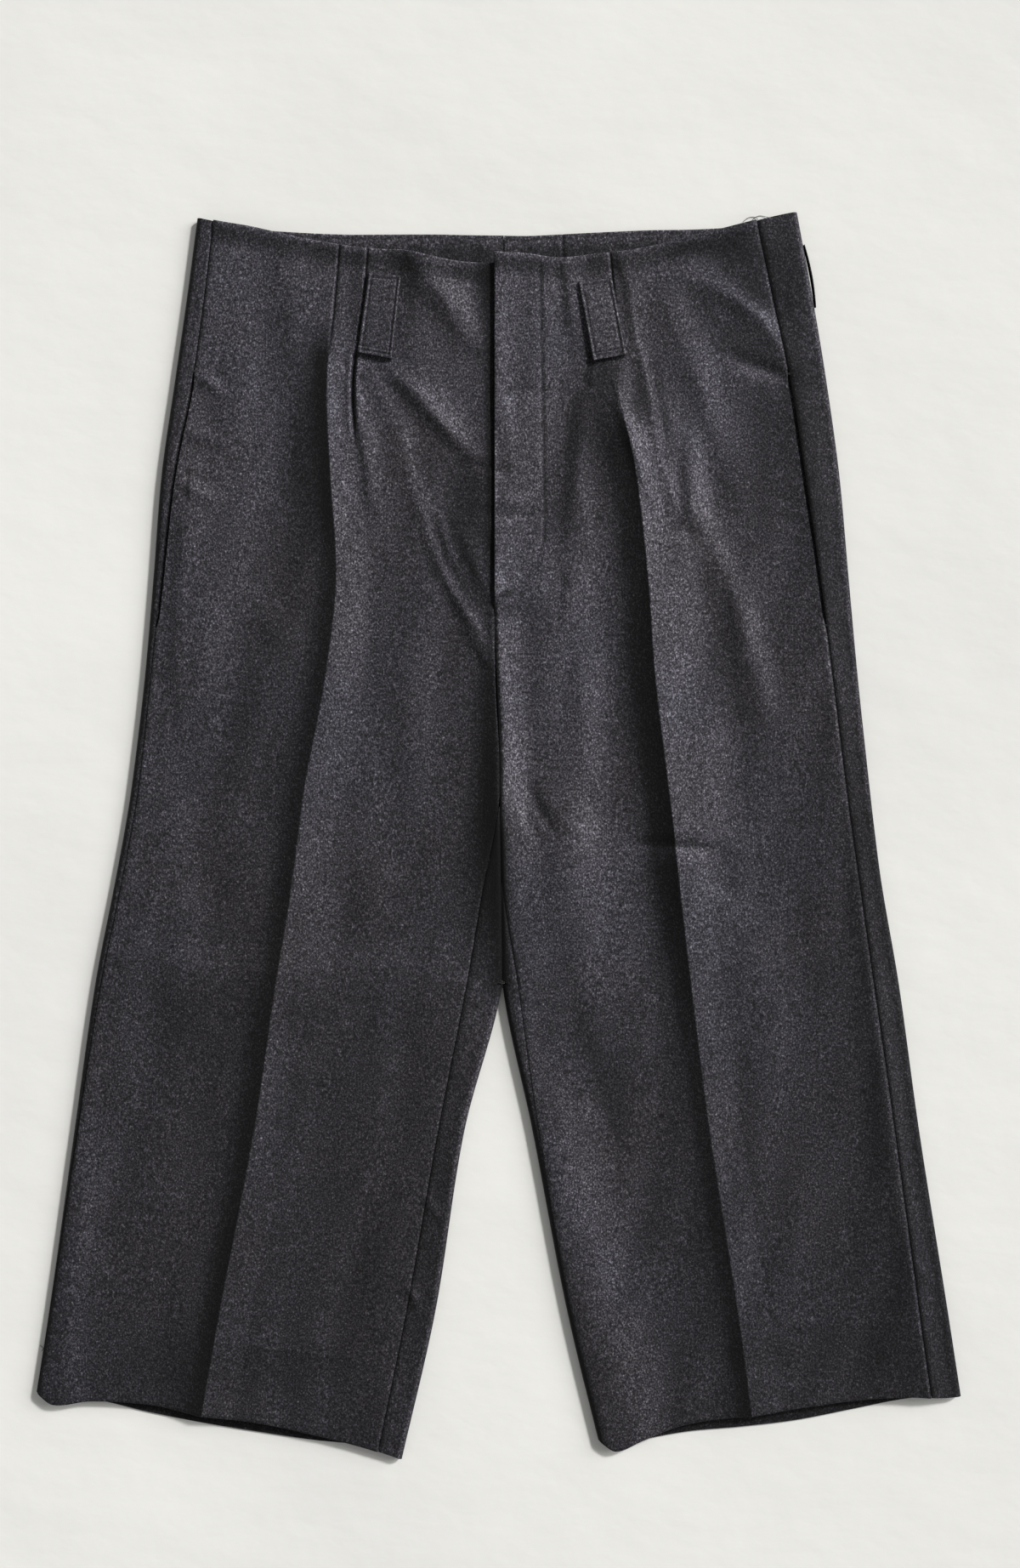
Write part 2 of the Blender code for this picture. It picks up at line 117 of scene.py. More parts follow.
WAIST = (
    (0.0, 33.4, 14.6, 27.5, 14.6),
    (0.1, 33.3, 14.3, 28.2, 14.8),
    (0.2, 30.1, 13.9, 30.4, 13.9),
    (0.3, 25.7, 13.9, 28.0, 12.9),
    (0.4, 24.4, 14.0, 26.0, 12.0),
    (0.5, 22.3, 14.0, 22.4, 11.2),
    (0.65, 17.1, 12.8, 15.4, 10.7),
    (0.8, 10.7, 10.6, 8.5, 8.6),
    (0.92, 6.9, 6.9, 2.9, 3.6),
    (1.0, 3.8, 3.8, 0.0, 0.0),
)
HEM_COLUMNS = ("share", "right_front", "right_back", "left_front", "left_back")
HEM = (
    (0.0, 748.4, 748.4, 751.3, 751.3),
    (0.05, 756.0, 756.0, 751.7, 751.9),
    (0.15, 753.8, 754.6, 750.6, 754.0),
    (0.3, 755.8, 762.3, 753.4, 760.7),
    (0.45, 762.6, 769.2, 758.0, 767.4),
    (0.6, 767.3, 774.9, 763.3, 771.6),
    (0.75, 775.0, 780.1, 768.4, 774.7),
    (0.88, 782.5, 783.4, 779.0, 780.2),
    (0.96, 788.0, 788.0, 785.8, 785.8),
    (1.0, 791.4, 791.4, 779.2, 779.2),
)

# Soft folds of the upper layer: the height, the width on the side of the wearer's right, the width on the
# other side, how crisp the top is (1 is a sharp line) and the way, as (x, down) points from head to foot.
STROKES = (
    (2.9, 9, 12, 0.15, ((-58, 27), (-43, 44), (-30, 62), (-18, 82))),
    (2.8, 6, 9, 0.35, ((-70, 100), (-50, 119), (-32, 139), (-15, 157))),
    (1.3, 7, 5.5, 0.2, ((-81, 101), (-68, 124), (-60, 148), (-53, 177), (-47, 202))),
    (0.9, 3.5, 5, 0.2, ((-49, 185), (-43, 211), (-31, 238), (-15, 267))),
    (0.9, 3, 4, 0.2, ((-40, 188), (-31, 215), (-18, 243))),
    (1.6, 6, 8, 0.3, ((-26, 199), (-16, 220), (-7, 242))),
    (1.3, 3, 5, 0.4, ((-31, 238), (-18, 259), (-7, 278))),
    (1.1, 2.5, 4, 0.4, ((-20, 266), (-6, 287))),
    (1.8, 13, 2.5, 0.1, ((-4, 141), (-4, 173), (-5, 211))),
    (1.3, 4, 6, 0.2, ((-90, 109), (-87, 135), (-83, 161), (-81, 184))),
    (-1, 12, 12, 0, ((-38, 167), (-25, 176), (-11, 181))),
    (1, 4, 5, 0.2, ((-202, 139), (-178, 146))),
    (1, 4, 6, 0.2, ((-204, 171), (-183, 183))),
    (1.2, 3.5, 4, 0.3, ((-191, 103), (-175, 115))),
    (1.8, 9, 22, 0, ((-197, 189), (-200, 243), (-202, 303))),
    (1, 12, 13, 0, ((-142, 254), (-144, 286), (-156, 351))),
    (0.7, 9, 9, 0, ((-155, 252), (-129, 273))),
    (1.4, 12, 13, 0, ((-57, 292), (-56, 329), (-58, 373))),
    (1.8, 3.5, 9, 0.3, ((43, 29), (45, 51), (47, 75))),
    (1, 3, 5, 0.2, ((76, 27), (79, 41))),
    (3, 7, 34, 0.1, ((56, 119), (54, 135), (51, 167), (48, 200), (45, 221))),
    (0.9, 9, 12, 0, ((49, 238), (52, 275), (55, 319), (59, 362))),
    (0.6, 5, 5, 0, ((54, 184), (53, 211))),
    (-0.6, 5, 5, 0, ((11, 103), (10, 138))),
    (1.6, 5, 5, 0.5, ((83, 48), (87, 74), (91, 96), (97, 122), (101, 147), (106, 166), (112, 189))),
    (1.5, 9, 14, 0.1, ((107, 54), (116, 78), (124, 99), (132, 122), (140, 144), (146, 168))),
    (2, 4, 10, 0.3, ((76, 121), (80, 135), (86, 151), (93, 176))),
    (-0.8, 5, 5, 0.1, ((82, 46), (88, 76), (90, 103))),
    (1.7, 6, 7, 0.1, ((122, 146), (122, 173), (124, 200))),
    (2.5, 12, 9, 0.2, ((128, 195), (139, 219), (149, 243), (159, 278), (169, 314))),
    (-1.6, 8, 8, 0, ((117, 201), (128, 207))),
    (2.2, 8, 6, 0.3, ((133, 46), (151, 56), (168, 70), (178, 86))),
    (-2.4, 6, 6, 0.3, ((151, 94), (169, 100), (184, 106))),
    (-0.5, 4, 4, 0.1, ((171, 180), (193, 185))),
    (-0.5, 4, 4, 0.1, ((174, 195), (194, 198))),
    (-1, 4, 4, 0.3, ((-12, 161), (-1, 163), (8, 165))),
    (-0.9, 4, 5, 0.1, ((-1, 195), (29, 192))),
    (0.9, 6, 5, 0.1, ((-1, 184), (19, 185))),
    (-0.7, 3, 4, 0.1, ((-1, 119), (14, 115), (35, 116))),
    (1.1, 6, 14, 0, ((8, 119), (7, 157))),
    (-0.6, 3, 3, 0.3, ((-1, 246), (9, 242))),
    (-1.8, 3.5, 4, 0.4, ((20, 365), (25, 378), (33, 391))),
    (-1.2, 3, 4, 0.3, ((14, 367), (19, 382), (25, 400))),
    (-2.4, 6, 5, 0.4, ((86, 401), (110, 402), (140, 404))),
    (1, 6, 6, 0.2, ((141, 406), (155, 406), (164, 401))),
    (-0.9, 9, 9, 0, ((134, 421), (154, 433))),
    (-1.2, 36, 30, 0, ((41, 470), (56, 508), (68, 540), (85, 589), (97, 643), (110, 697))),
    (2.2, 30, 14, 0, ((-223, 474), (-191, 484), (-144, 481))),
    (2, 30, 14, 0, ((-130, 480), (-79, 482), (-35, 486))),
    (-0.8, 16, 16, 0, ((-204, 431), (-152, 432))),
    (0.35, 2.5, 2.5, 0.2, ((159, 705), (202, 703), (248, 699))),
    (1.7, 3, 3, 0.3, ((-45, 627), (-35, 639))),
    (1.7, 3, 3, 0.3, ((-56, 683), (-46, 701))),
    (1.7, 4, 4, 0.3, ((268, 670), (277, 681))),
    (0.3, 2.5, 2.5, 0.2, ((-169, 717), (-119, 724), (-69, 731))),
)
CREASE_HEIGHT = 7.6
LOW_CREASE_HEIGHT = 3.7
MIDDLE_HEIGHT = 3.6
FLY_BEND = 198.0

LOOPS = (
    ("belt_loop_front_right", (-81.6, 39.6), (-61.2, 41.7), (-88.8, 90.2), (-67.1, 94.4)),
    ("belt_loop_front_left", (51.0, 45.8), (72.2, 42.7), (60.3, 95.7), (81.3, 91.6)),
)
LOOP_WIDTH = 21.0
LOOP_LENGTH = 51.0
LOOP_WALL = 1.9
LOOP_SEAT = 0.4
LOOP_RISE = 0.5
BACK_LOOP_TOP = 20.0
BACK_LOOP_END = 60.0

# How the photo lies over the garment: the millimetres of a pixel, the pixels of the middle line and of the
# waist's top, and its size in pixels.
PHOTO_SCALE = 0.54
PHOTO_LEFT = 585.5
PHOTO_TOP = 250.0
PHOTO_SIZE = (1200, 1844)
LENS = 50.0
SENSOR = 36.0
FLOOR_REACH = 4.0

# Ways over the upper cloth along folds, painted darker as painted shade, or paler as painted light where
# the
# strength is below 0: the strength, the width on the side of the wearer's right, the width on the other
# side, and (x, down) points.
SHADES = (
    (-0.65, 15, 16, ((45, 221), (50, 297), (55, 362), (64, 432), (70, 508))),
    (-0.5, 7, 10, ((8, 254), (10, 297), (15, 351), (23, 421), (29, 481))),
    (-0.5, 13, 18, ((27, 513), (36, 556), (47, 610), (59, 653))),
    (-1.1, 15, 24, ((47, 594), (65, 664), (85, 729), (101, 837))),
    (0.5, 8, 9, ((47, 481), (54, 513), (66, 551), (81, 594))),
    (-0.25, 8, 12, ((81, 475), (82, 513), (87, 545))),
    (0.5, 26, 6, ((-1, 308), (-4, 378), (-8, 459), (-13, 486))),
    (0.5, 12, 14, ((-35, 159), (-23, 189), (-18, 216), (-14, 243))),
    (0.5, 20, 14, ((-121, 157), (-126, 211), (-131, 243), (-141, 286), (-148, 329), (-154, 367))),
    (0.28, 34, 8, ((-144, 351), (-154, 405), (-162, 448), (-171, 502), (-178, 556), (-184, 610))),
    (0.3, 9, 5, ((-129, 97), (-127, 135), (-125, 167), (-122, 200))),
    (0.3, 10, 10, ((-135, 59), (-134, 81), (-130, 103))),
    (0.42, 5, 6, ((-57, 22), (-55, 49), (-53, 76))),
    (0.65, 3, 4, ((78, 23), (80, 51), (84, 86))),
    (0.5, 5, 7, ((191, 103), (197, 151), (203, 194), (209, 238), (211, 262))),
    (0.28, 8, 16, ((100, 103), (106, 135), (113, 162))),
    (0.27, 55, 58, ((-79, 437), (-84, 513), (-89, 583), (-100, 664), (-106, 718))),
    (0.4, 12, 6, ((-16, 502), (-26, 572), (-33, 626), (-42, 691), (-49, 756))),
    (-0.45, 9, 14, ((-256, 545), (-260, 621), (-264, 675), (-266, 740), (-269, 783))),
    (0.42, 9, 12, ((225, 394), (234, 513), (247, 621), (258, 702), (272, 783))),
    (0.45, 6, 6, ((215, 302), (220, 351), (224, 394), (228, 437), (234, 486))),
    (0.45, 14, 20, ((153, 10), (157, 27), (161, 40))),
    (0.3, 10, 8, ((161, 81), (166, 103), (168, 135))),
    (0.58, 7, 8, ((97, 22), (127, 24), (154, 26), (174, 30))),
    (0.5, 10, 7, ((116, 38), (129, 57), (141, 77))),
    (0.35, 7, 7, ((151, 39), (166, 54), (174, 67))),
    (0.62, 2.5, 3.5, ((99, 97), (103, 119), (107, 143), (109, 165))),
    (0.3, 10, 9, ((56, 108), (48, 140), (39, 173), (33, 202))),
    (0.62, 14, 14, ((62, 91), (70, 104), (81, 113))),
    (0.7, 3, 9, ((85, 111), (87, 124), (93, 140))),
    (0.8, 8, 6, ((-4, 340), (-2, 405), (-1, 448), (1, 497))),
    (-0.28, 1.5, 1.5, ((162, 708), (202, 705), (254, 701))),
    (-0.22, 1.5, 1.5, ((-237, 705), (-197, 708), (-154, 711), (-100, 714))),
    (-0.45, 12, 12, ((55, 373), (63, 432), (69, 486))),
    (0.75, 1.5, 1.5, ((-12, 160), (-6, 164), (6, 165))),
    (0.75, 1.4, 1.4, ((-1, 247), (4, 244), (10, 241))),
    (0.3, 20, 12, ((-30, 167), (-22, 200), (-16, 232))),
    (-0.5, 5.5, 4, ((-75, 109), (-66, 138), (-57, 167), (-53, 189), (-48, 211))),
    (-0.45, 10, 10, ((134, 89), (136, 119), (143, 138), (147, 157))),
    (0.42, 12, 12, ((167, 116), (168, 167), (171, 211))),
    (0.4, 10, 12, ((141, 275), (146, 297), (153, 324))),
    (0.4, 18, 12, ((59, 92), (64, 135), (68, 167))),
)
# Patches painted darker, mostly as painted shade beside folds and seams, some as uneven tone of the cloth:
# x, down, half the width, half the height and the strength.
PATCHES = (
    (-212.0, 727.0, 27.0, 22.0, 0.26),
    (-134.0, 733.0, 40.0, 17.0, 0.24),
    (-186.0, 513.0, 36.0, 32.0, 0.16),
    (-30.0, 742.0, 9.0, 22.0, 0.10),
    (216.0, 724.0, 52.0, 17.0, 0.20),
    (154.0, 83.0, 21.0, 16.0, 0.28),
    (170.0, 44.0, 24.0, 22.0, 0.46),
    (-24.0, 184.0, 15.0, 18.0, 0.20),
    (110.0, 206.0, 10.0, 15.0, 0.18),
    (-122.0, 152.0, 8.0, 52.0, 0.30),
    (187.0, 105.0, 8.0, 90.0, 0.38),
    (135.0, 243.0, 6.0, 26.0, 0.25),
    (-90.0, 54.0, 5.0, 34.0, 0.35),
    (152.0, 240.0, 9.0, 40.0, 0.14),
    (-21.0, 90.0, 16.0, 8.0, 0.12),
)
# Faint waves: height, length, heading and phase.
RIPPLES = (
    (0.20, 41.0, 0.10, 0.4),
    (0.16, 67.0, -0.18, 2.1),
    (0.10, 27.0, 0.22, 3.3),
    (0.22, 118.0, 1.40, 1.7),
)

# The rows of the meshes from waist to hem, and the cells across between one line of the cut and the next.
FRONT_ROWS = 420
FRONT_CELLS = (16, 34, 18, 44)
SEAM_OFFSETS = (0.0, 0.5, 1.1, 2.0, 3.4)
SEAM_REACH = 4.8
BACK_ROWS = 360
STRIP_CELLS = 9
ARC_CELLS = 8
BOTTOM_CELLS = 40
FLAP_CELLS = 8
FLAP_REACH = 8.0
QUARTER = FOLD_RADIUS * math.pi / 2

# How a raw edge turns under, in steps: how far out and how high against the face, and the painted shade
# there.
ROLL_STEPS = ((0.30, -0.12), (0.50, -0.45), (0.50, -1.10), (0.20, -1.55), (-5.0, -1.60))
ROLL_SHADES = (0.0, 0.15, 0.45, 0.7, 0.8)
# The belt loops' turned edges are painted darker still, a painted shade outline round each loop.
LOOP_ROLL_SHADES = (0.45, 0.8, 0.9, 0.9, 0.9)
# The sides of a grid of points: the axis and the way in along it.
FIRST_COLUMN, LAST_COLUMN = (1, 1), (1, -1)
FIRST_ROW, LAST_ROW = (0, 1), (0, -1)
# How the right front goes on under the fly: how far under, and how low.
UNDERLAP_STEPS = ((5.0, 1.4), (0.3, 0.7))
# How a back's hem turns in: how far up, how deep under the outer face, and the painted shade there.
HEM_TURN = (
    (0.0, 0.5, 0.10),
    (0.0, 1.2, 0.25),
    (1.5, 1.7, 0.40),
    (12.0, 1.8, 0.50),
    (30.0, 1.8, 0.50),
    (HEM_DEPTH, 1.8, 0.50),
    (HEM_DEPTH, 1.6, 0.50),
)

# Lines that sewing and pressing leave in the cloth: the depth, its width, the darkness and its width. The
# darkness is painted shade in the line's groove, with the dark of the sewn seams. They are the side seam,
# the inseam, the middle seam, the fly's stitching, the crease's top and the pleat.
PRESSED_LINES = (
    (0.80, 0.9, 0.75, 0.8),
    (0.45, 0.9, 0.60, 0.8),
    (0.90, 1.0, 0.80, 0.9),
    (0.30, 1.4, 0.45, 0.9),
    (0.70, 0.8, 0.75, 0.8),
    (0.70, 0.8, 0.70, 0.8),
)

STITCH_PITCH = 3.0
STITCH_LENGTH = 2.3
STITCH_WIDTH = 0.42
# A bartack's leg, and its start and end as (across, down).
BARTACKS = (
    ("right", (187.0, 101.0), (196.0, 101.5)),
    ("right", (212.0, 264.5), (218.0, 264.5)),
    ("left", (175.0, 102.0), (185.5, 103.0)),
    ("left", (202.0, 262.5), (209.0, 262.5)),
    ("left", (0.5, 244.5), (8.5, 242.0)),
)
LOOSE_THREADS = (
    ((156.3, 4.9), (160.1, 2.2), (164.4, 2.2), (166.1, 5.4),
     (163.4, 7.0), (162.3, 3.8), (166.6, 1.1), (172.5, 2.2)),
    ((-291.5, 720.5), (-289.5, 722.0), (-290.5, 724.0)),
)

# Painted light and shade by tilt: the way towards the lights and how strongly tilting cloth is painted
# paler towards it and darker away from it; and the wool's tones by the height of the noise.
PAINTED_LIGHT_DIRECTION = (0.89, 0.46, 0.0)
PAINTED_LIGHT_STRENGTH = 3.1
FLANNEL_TONES = (
    (0.28, (0.0066, 0.0062, 0.0073)),
    (0.50, (0.028, 0.0264, 0.0312)),
    (0.66, (0.073, 0.069, 0.081)),
    (0.80, (0.185, 0.176, 0.203)),
)


def smooth_step(low, high, value):
    """0 up to low, 1 from high on, and a smooth rise between them."""
    share = np.clip((np.asarray(value, float) - low) / (high - low), 0.0, 1.0)
    return share * share * (3.0 - 2.0 * share)


def between(value, start, full, fading, end):
    """1 from full to fading, with a smooth rise from start and a smooth fall to end."""
    return smooth_step(start, full, value) * (1.0 - smooth_step(fading, end, value))


def bell(distance, width):
    """1 at no distance, falling smoothly away to both sides."""
    return np.exp(-((distance / width) ** 2))


def column_curve(rows, column):
    """A smooth curve through one column of a table, by the table's first column."""
    places = np.array([row[0] for row in rows])
    values = np.array([row[column] for row in rows])
    last = len(rows) - 1
    before = np.maximum(np.arange(len(rows)) - 1, 0)
    after = np.minimum(np.arange(len(rows)) + 1, last)
    slopes = (values[after] - values[before]) / (places[after] - places[before])

    def curve(place):
        place = np.asarray(place, float)
        i = np.clip(np.searchsorted(places, place, side="left") - 1, 0, last - 1)
        step = places[i + 1] - places[i]
        t = np.clip((place - places[i]) / step, 0.0, 1.0)
        t2, t3 = t * t, t * t * t
        return (
            (2 * t3 - 3 * t2 + 1) * values[i]
            + (t3 - 2 * t2 + t) * step * slopes[i]
            + (3 * t2 - 2 * t3) * values[i + 1]
            + (t3 - t2) * step * slopes[i + 1]
        )

    return curve


class Leg:
    """One half of the trousers: its outline curves and the side of the middle line that it lies on."""

    def __init__(self, name, sign, rows):
        self.name = name
        self.sign = sign
        for column, label in enumerate(LEG_COLUMNS[1:], start=1):
            setattr(self, label, column_curve(rows, column))
        self.front_waist = column_curve(WAIST, WAIST_COLUMNS.index(name + "_front"))
        self.back_waist = column_curve(WAIST, WAIST_COLUMNS.index(name + "_back"))
        self.front_hem = column_curve(HEM, HEM_COLUMNS.index(name + "_front"))
        self.back_hem = column_curve(HEM, HEM_COLUMNS.index(name + "_back"))

    def centre(self, down):
        """The middle seam's place across, half a gap on this leg's side of it."""
        x = -1.8 + 3.4 * smooth_step(245.0, 362.0, down) + 1.4 * smooth_step(362.0, 490.0, down)
        return self.sign * x + PIECE_GAP / 2

    def inner_fold(self, down):
        """The inner fold below the notch, kept half a gap from the other leg's."""
        near = np.maximum(self.turn(down), self.sign * 3.0 + PIECE_GAP / 2)
        return np.where(np.asarray(down) < 560.0, near, self.turn(down))

    def front_edge(self, down):
        """The inner edge of the front: the middle seam, and below the crotch the inseam."""
        return np.maximum(self.inner(down), self.centre(down))

    def front_top(self, across, down):
        """Where the front's top edge runs over a place."""
        return self.front_waist(np.clip(across / self.fold(down), 0.0, 1.0))

    def back_top(self, across):
        """Where the back's top edge runs over a place on its facing."""
        return self.back_waist(np.clip(across / self.fold(FACING_LEVEL), 0.0, 1.0))

    def pleat(self, down):
        """The line beside the crease where the waist pleat folds back, as a place across."""
        if self.sign < 0:
            return self.crease(down) - 18.1 + 2.0 * smooth_step(50.0, 110.0, down)
        return self.crease(down) + 13.0 + 11.0 * smooth_step(40.0, 130.0, down)

    def bent_down(self, station, across, upper_share):
        """The true distance down of a row's point, bent to the waist and hem edges of its layer."""
        waist_share = np.clip(across / self.fold(station), 0.0, 1.0)
        back = self.back_waist(waist_share)
        waist = back + (self.front_waist(waist_share) - back) * upper_share
        width = self.fold(station) - self.turn(station)
        hem_share = np.clip((self.fold(station) - across) / width, 0.0, 1.0)
        back = self.back_hem(hem_share)
        hem = back + (self.front_hem(hem_share) - back) * upper_share
        waist_pull = np.maximum(0.0, 1.0 - station / WAIST_REACH)
        hem_pull = np.clip((station - LENGTH + HEM_REACH) / (HEM_REACH - HEM_DEPTH), 0.0, 1.0)
        return station + waist * waist_pull + (hem - LENGTH) * hem_pull


RIGHT = Leg("right", -1, RIGHT_LEG)
LEFT = Leg("left", 1, LEFT_LEG)


def below_notch(down):
    return down >= NOTCH_DOWN - 0.01


def beside_path(path, x, down):
    """How far places lie aside from a path, positive towards the wearer's left, and how far along it."""
    path = np.array(path)
    lengths = np.hypot(*(path[1:] - path[:-1]).T)
    gone = 0.0
    best = np.full(x.shape, np.inf)
    aside = np.zeros_like(x)
    along = np.zeros_like(x)
    for start, end, length in zip(path[:-1], path[1:], lengths):
        step = (end - start) / length
        ahead = (x - start[0]) * step[0] + (down - start[1]) * step[1]
        held = np.clip(ahead, 0.0, length)
        far = np.hypot(x - start[0] - held * step[0], down - start[1] - held * step[1])
        side = np.where((x - start[0]) * step[1] - (down - start[1]) * step[0] > 0.0, 1.0, -1.0)
        nearer = far < best
        best = np.where(nearer, far, best)
        aside = np.where(nearer, side * far, aside)
        along = np.where(nearer, gone + held, along)
        gone += length
    return aside, along / lengths.sum()


def faded(along):
    """Full strength along the middle of a path, less towards its ends."""
    return np.sin(np.pi * np.clip(0.12 + 0.76 * along, 0.0, 1.0)) ** 0.8


def stroke_relief(x, down):
    """Height of the table's folds at places on the upper layer."""
    total = np.zeros_like(x)
    for height, right_width, left_width, crisp, path in STROKES:
        aside, along = beside_path(path, x, down)
        t = np.abs(aside) / np.where(aside > 0.0, left_width, right_width)
        total += height * faded(along) * (crisp * np.exp(-1.6 * t) + (1.0 - crisp) * np.exp(-t * t))
    return total


def crease_relief(leg, across, down):
    """The pressed crease: a long soft rise from the wearer's right and a fall on the other side."""
    aside = leg.sign * (across - leg.crease(down))
    low = smooth_step(400.0, 560.0, down)
    if leg.sign < 0:
        grown = 0.42 * smooth_step(60.0, 115.0, down) + 0.06 * smooth_step(230.0, 330.0, down)
        reach = 21.0 + 14.0 * smooth_step(230.0, 330.0, down)
    else:
        grown = smooth_step(98.0, 150.0, down)
        reach = 50.0
    height = CREASE_HEIGHT * grown * (1.0 - low) + LOW_CREASE_HEIGHT * low
    rise = np.clip(1.0 + aside / (34.0 - 6.0 * low), 0.0, 1.0) ** 2.3
    high_fall = np.clip(1.0 - aside / reach, 0.0, 1.0) ** 1.3
    low_fall = 0.45 * np.clip(1.0 - aside / 20.0, 0.0, 1.0) + 0.55 * np.clip(1.0 - aside / 80.0, 0.0, 1.0)
    fall = high_fall + (low_fall - high_fall) * low
    return height * np.where(aside < 0.0, rise, fall)


def middle_relief(leg, across, down):
    """The middle seam's ridge below the fly, with a long rise from the wearer's right and a short fall."""
    aside = np.clip(across - leg.centre(down), 0.0, None)
    share = between(down, 190.0, 290.0, NOTCH_DOWN - 130.0, NOTCH_DOWN)
    reach = 34.0 if leg.sign < 0 else 22.0
    return MIDDLE_HEIGHT * share * np.clip(1.0 - aside / reach, 0.0, 1.0) ** 2


def side_relief(leg, across, down):
    """The side seam's bulk lifts the wearer's left leg along it."""
    aside = across - leg.seam(down)
    low = smooth_step(400.0, 560.0, down)
    rise = np.clip(1.0 + aside / (38.0 + 27.0 * low), 0.0, 1.0) ** 1.5
    fall = np.clip(1.0 - aside / 30.0, 0.0, 1.0)
    share = (leg.sign > 0) * smooth_step(60.0, 140.0, down)
    return share * (2.6 + 1.0 * low) * np.where(aside < 0.0, rise, fall)


def waist_relief(leg, across, down):
    """The front's top edge curls up a little."""
    edge = leg.front_top(across, down)
    uneven = 0.75 + 0.25 * np.sin(across * 0.09 + leg.sign)
    return 2.2 * uneven * (1.0 - smooth_step(-2.0, 15.0, down - edge))


def pleat_slit(leg, down):
    """How far open the right leg's pleat stands below the place where its stitching ends."""
    return (leg.sign < 0) * between(down, 84.0, 98.0, 118.0, 150.0)


def crown(x, down):
    """The fly's extra layers lift the middle of the front."""
    reach = np.exp(-((x / CROWN_REACH) ** 4))
    return CROWN_RISE * reach * (1.0 - smooth_step(FLY_END, FLY_END + 110.0, down))


def inseam_share(down):
    return smooth_step(RIGHT_FLAP_DOWN, RIGHT_FLAP_DOWN + 20.0, down)


def middle_seam_share(down):
    return between(down, FLY_END, FLY_END + 12.0, NOTCH_DOWN, NOTCH_DOWN + 8.0)


def fly_stitch(leg, down):
    """The place across of the line that sews the fly, above its curved end."""
    return leg.front_edge(down) + 28.0 + 0.0165 * down


def fly_stitch_aside(leg, across, down):
    """How far a place lies from the fly's stitching, which turns in to the edge at its end."""
    edge = leg.front_edge(FLY_END)
    wide = fly_stitch(leg, FLY_BEND) - edge
    high = FLY_END - 1.0 - FLY_BEND
    bent = (np.hypot((across - edge) / wide, (down - FLY_BEND) / high) - 1.0) * (wide + high) / 2
    return np.where(down < FLY_BEND, across - fly_stitch(leg, down), bent)


def fly_stitch_share(leg, down):
    return (leg.sign > 0) * between(down, 34.0, 37.0, FLY_END - 3.0, FLY_END)


def pressed_lines(leg, across, down):
    """Of each line of the table: how much of it there is at a place, and how far aside the place lies."""
    top = 1.0 - smooth_step(70.0, 100.0, down)
    return (
        (1.0, across - leg.seam(down)),
        (inseam_share(down), across - leg.front_edge(down) + 0.15),
        (middle_seam_share(down), across - leg.centre(down)),
        (fly_stitch_share(leg, down), fly_stitch_aside(leg, across, down)),
        (top, across - leg.crease(down)),
        ((leg.sign < 0) * top, across - leg.pleat(down)),
    )


def line_relief(leg, across, down):
    """Pressed lines sink a little, and the pleat opens in a short slit where its stitching lets go."""
    from_pleat = across - leg.pleat(down)
    total = pleat_slit(leg, down) * (bell(from_pleat, 4.0) - 3.2 * bell(from_pleat, 1.2))
    for (share, aside), (depth, width, _, _) in zip(pressed_lines(leg, across, down), PRESSED_LINES):
        total = total - depth * share * bell(aside, width)
    return total


def line_shades(leg, across, down):
    """Strengths of the dark lines at seams, pleats and stitching: painted shade in their grooves and the
    pleat's slit.
    """
    shades = [0.9 * pleat_slit(leg, down) * bell(across - leg.pleat(down), 1.3)]
    for (share, aside), (_, _, strength, width) in zip(pressed_lines(leg, across, down), PRESSED_LINES):
        shades.append(strength * share * bell(aside, width))
    return shades


def crotch_share(down):
    """How strongly the crotch, where the legs meet, is painted dark as shade."""
    return between(down, 365.0, 400.0, NOTCH_DOWN, NOTCH_DOWN + 20.0)


def wedge_width(down):
    """Width of the wedge of painted shadow where the right front sinks under the edge of the fly."""
    return 9.0 + 8.0 * bell(down - 46.0, 38.0)


def right_shades(leg, across, down):
    """Strengths of the right leg's painted shade: crease flank, side seam, middle seam, crotch, fly's
    shadow, fold.
    """
    aside = leg.sign * (across - leg.crease(down))
    flank = between(aside, -20.0, -4.0, -0.8, 0.8) * smooth_step(62.0, 95.0, down)
    high = 1.0 - smooth_step(190.0, 240.0, down)
    outside = smooth_step(0.0, 1.5, across - leg.seam(down))
    reach = 9.0 + 11.0 * smooth_step(230.0, 320.0, down)
    beside = smooth_step(-reach, -0.3 * reach, -across) * smooth_step(95.0, 140.0, down)
    wedge = wedge_width(down)
    shown = 1.0 - smooth_step(FLY_END - 30.0, FLY_END + 10.0, down)
    return [
        flank * (0.68 + 0.2 * high),
        0.35 * outside * (1.0 - smooth_step(300.0, 420.0, down)),
        0.55 * beside * (1.0 - smooth_step(NOTCH_DOWN - 90.0, NOTCH_DOWN - 10.0, down)),
        0.9 * crotch_share(down) * bell(across - leg.centre(down), 6.0),
        0.82 * shown * smooth_step(-wedge - 3.0, -0.4 * wedge, -across),
        0.48 * (1.0 - smooth_step(1.0, 7.0, leg.fold(down) - across)),
    ]


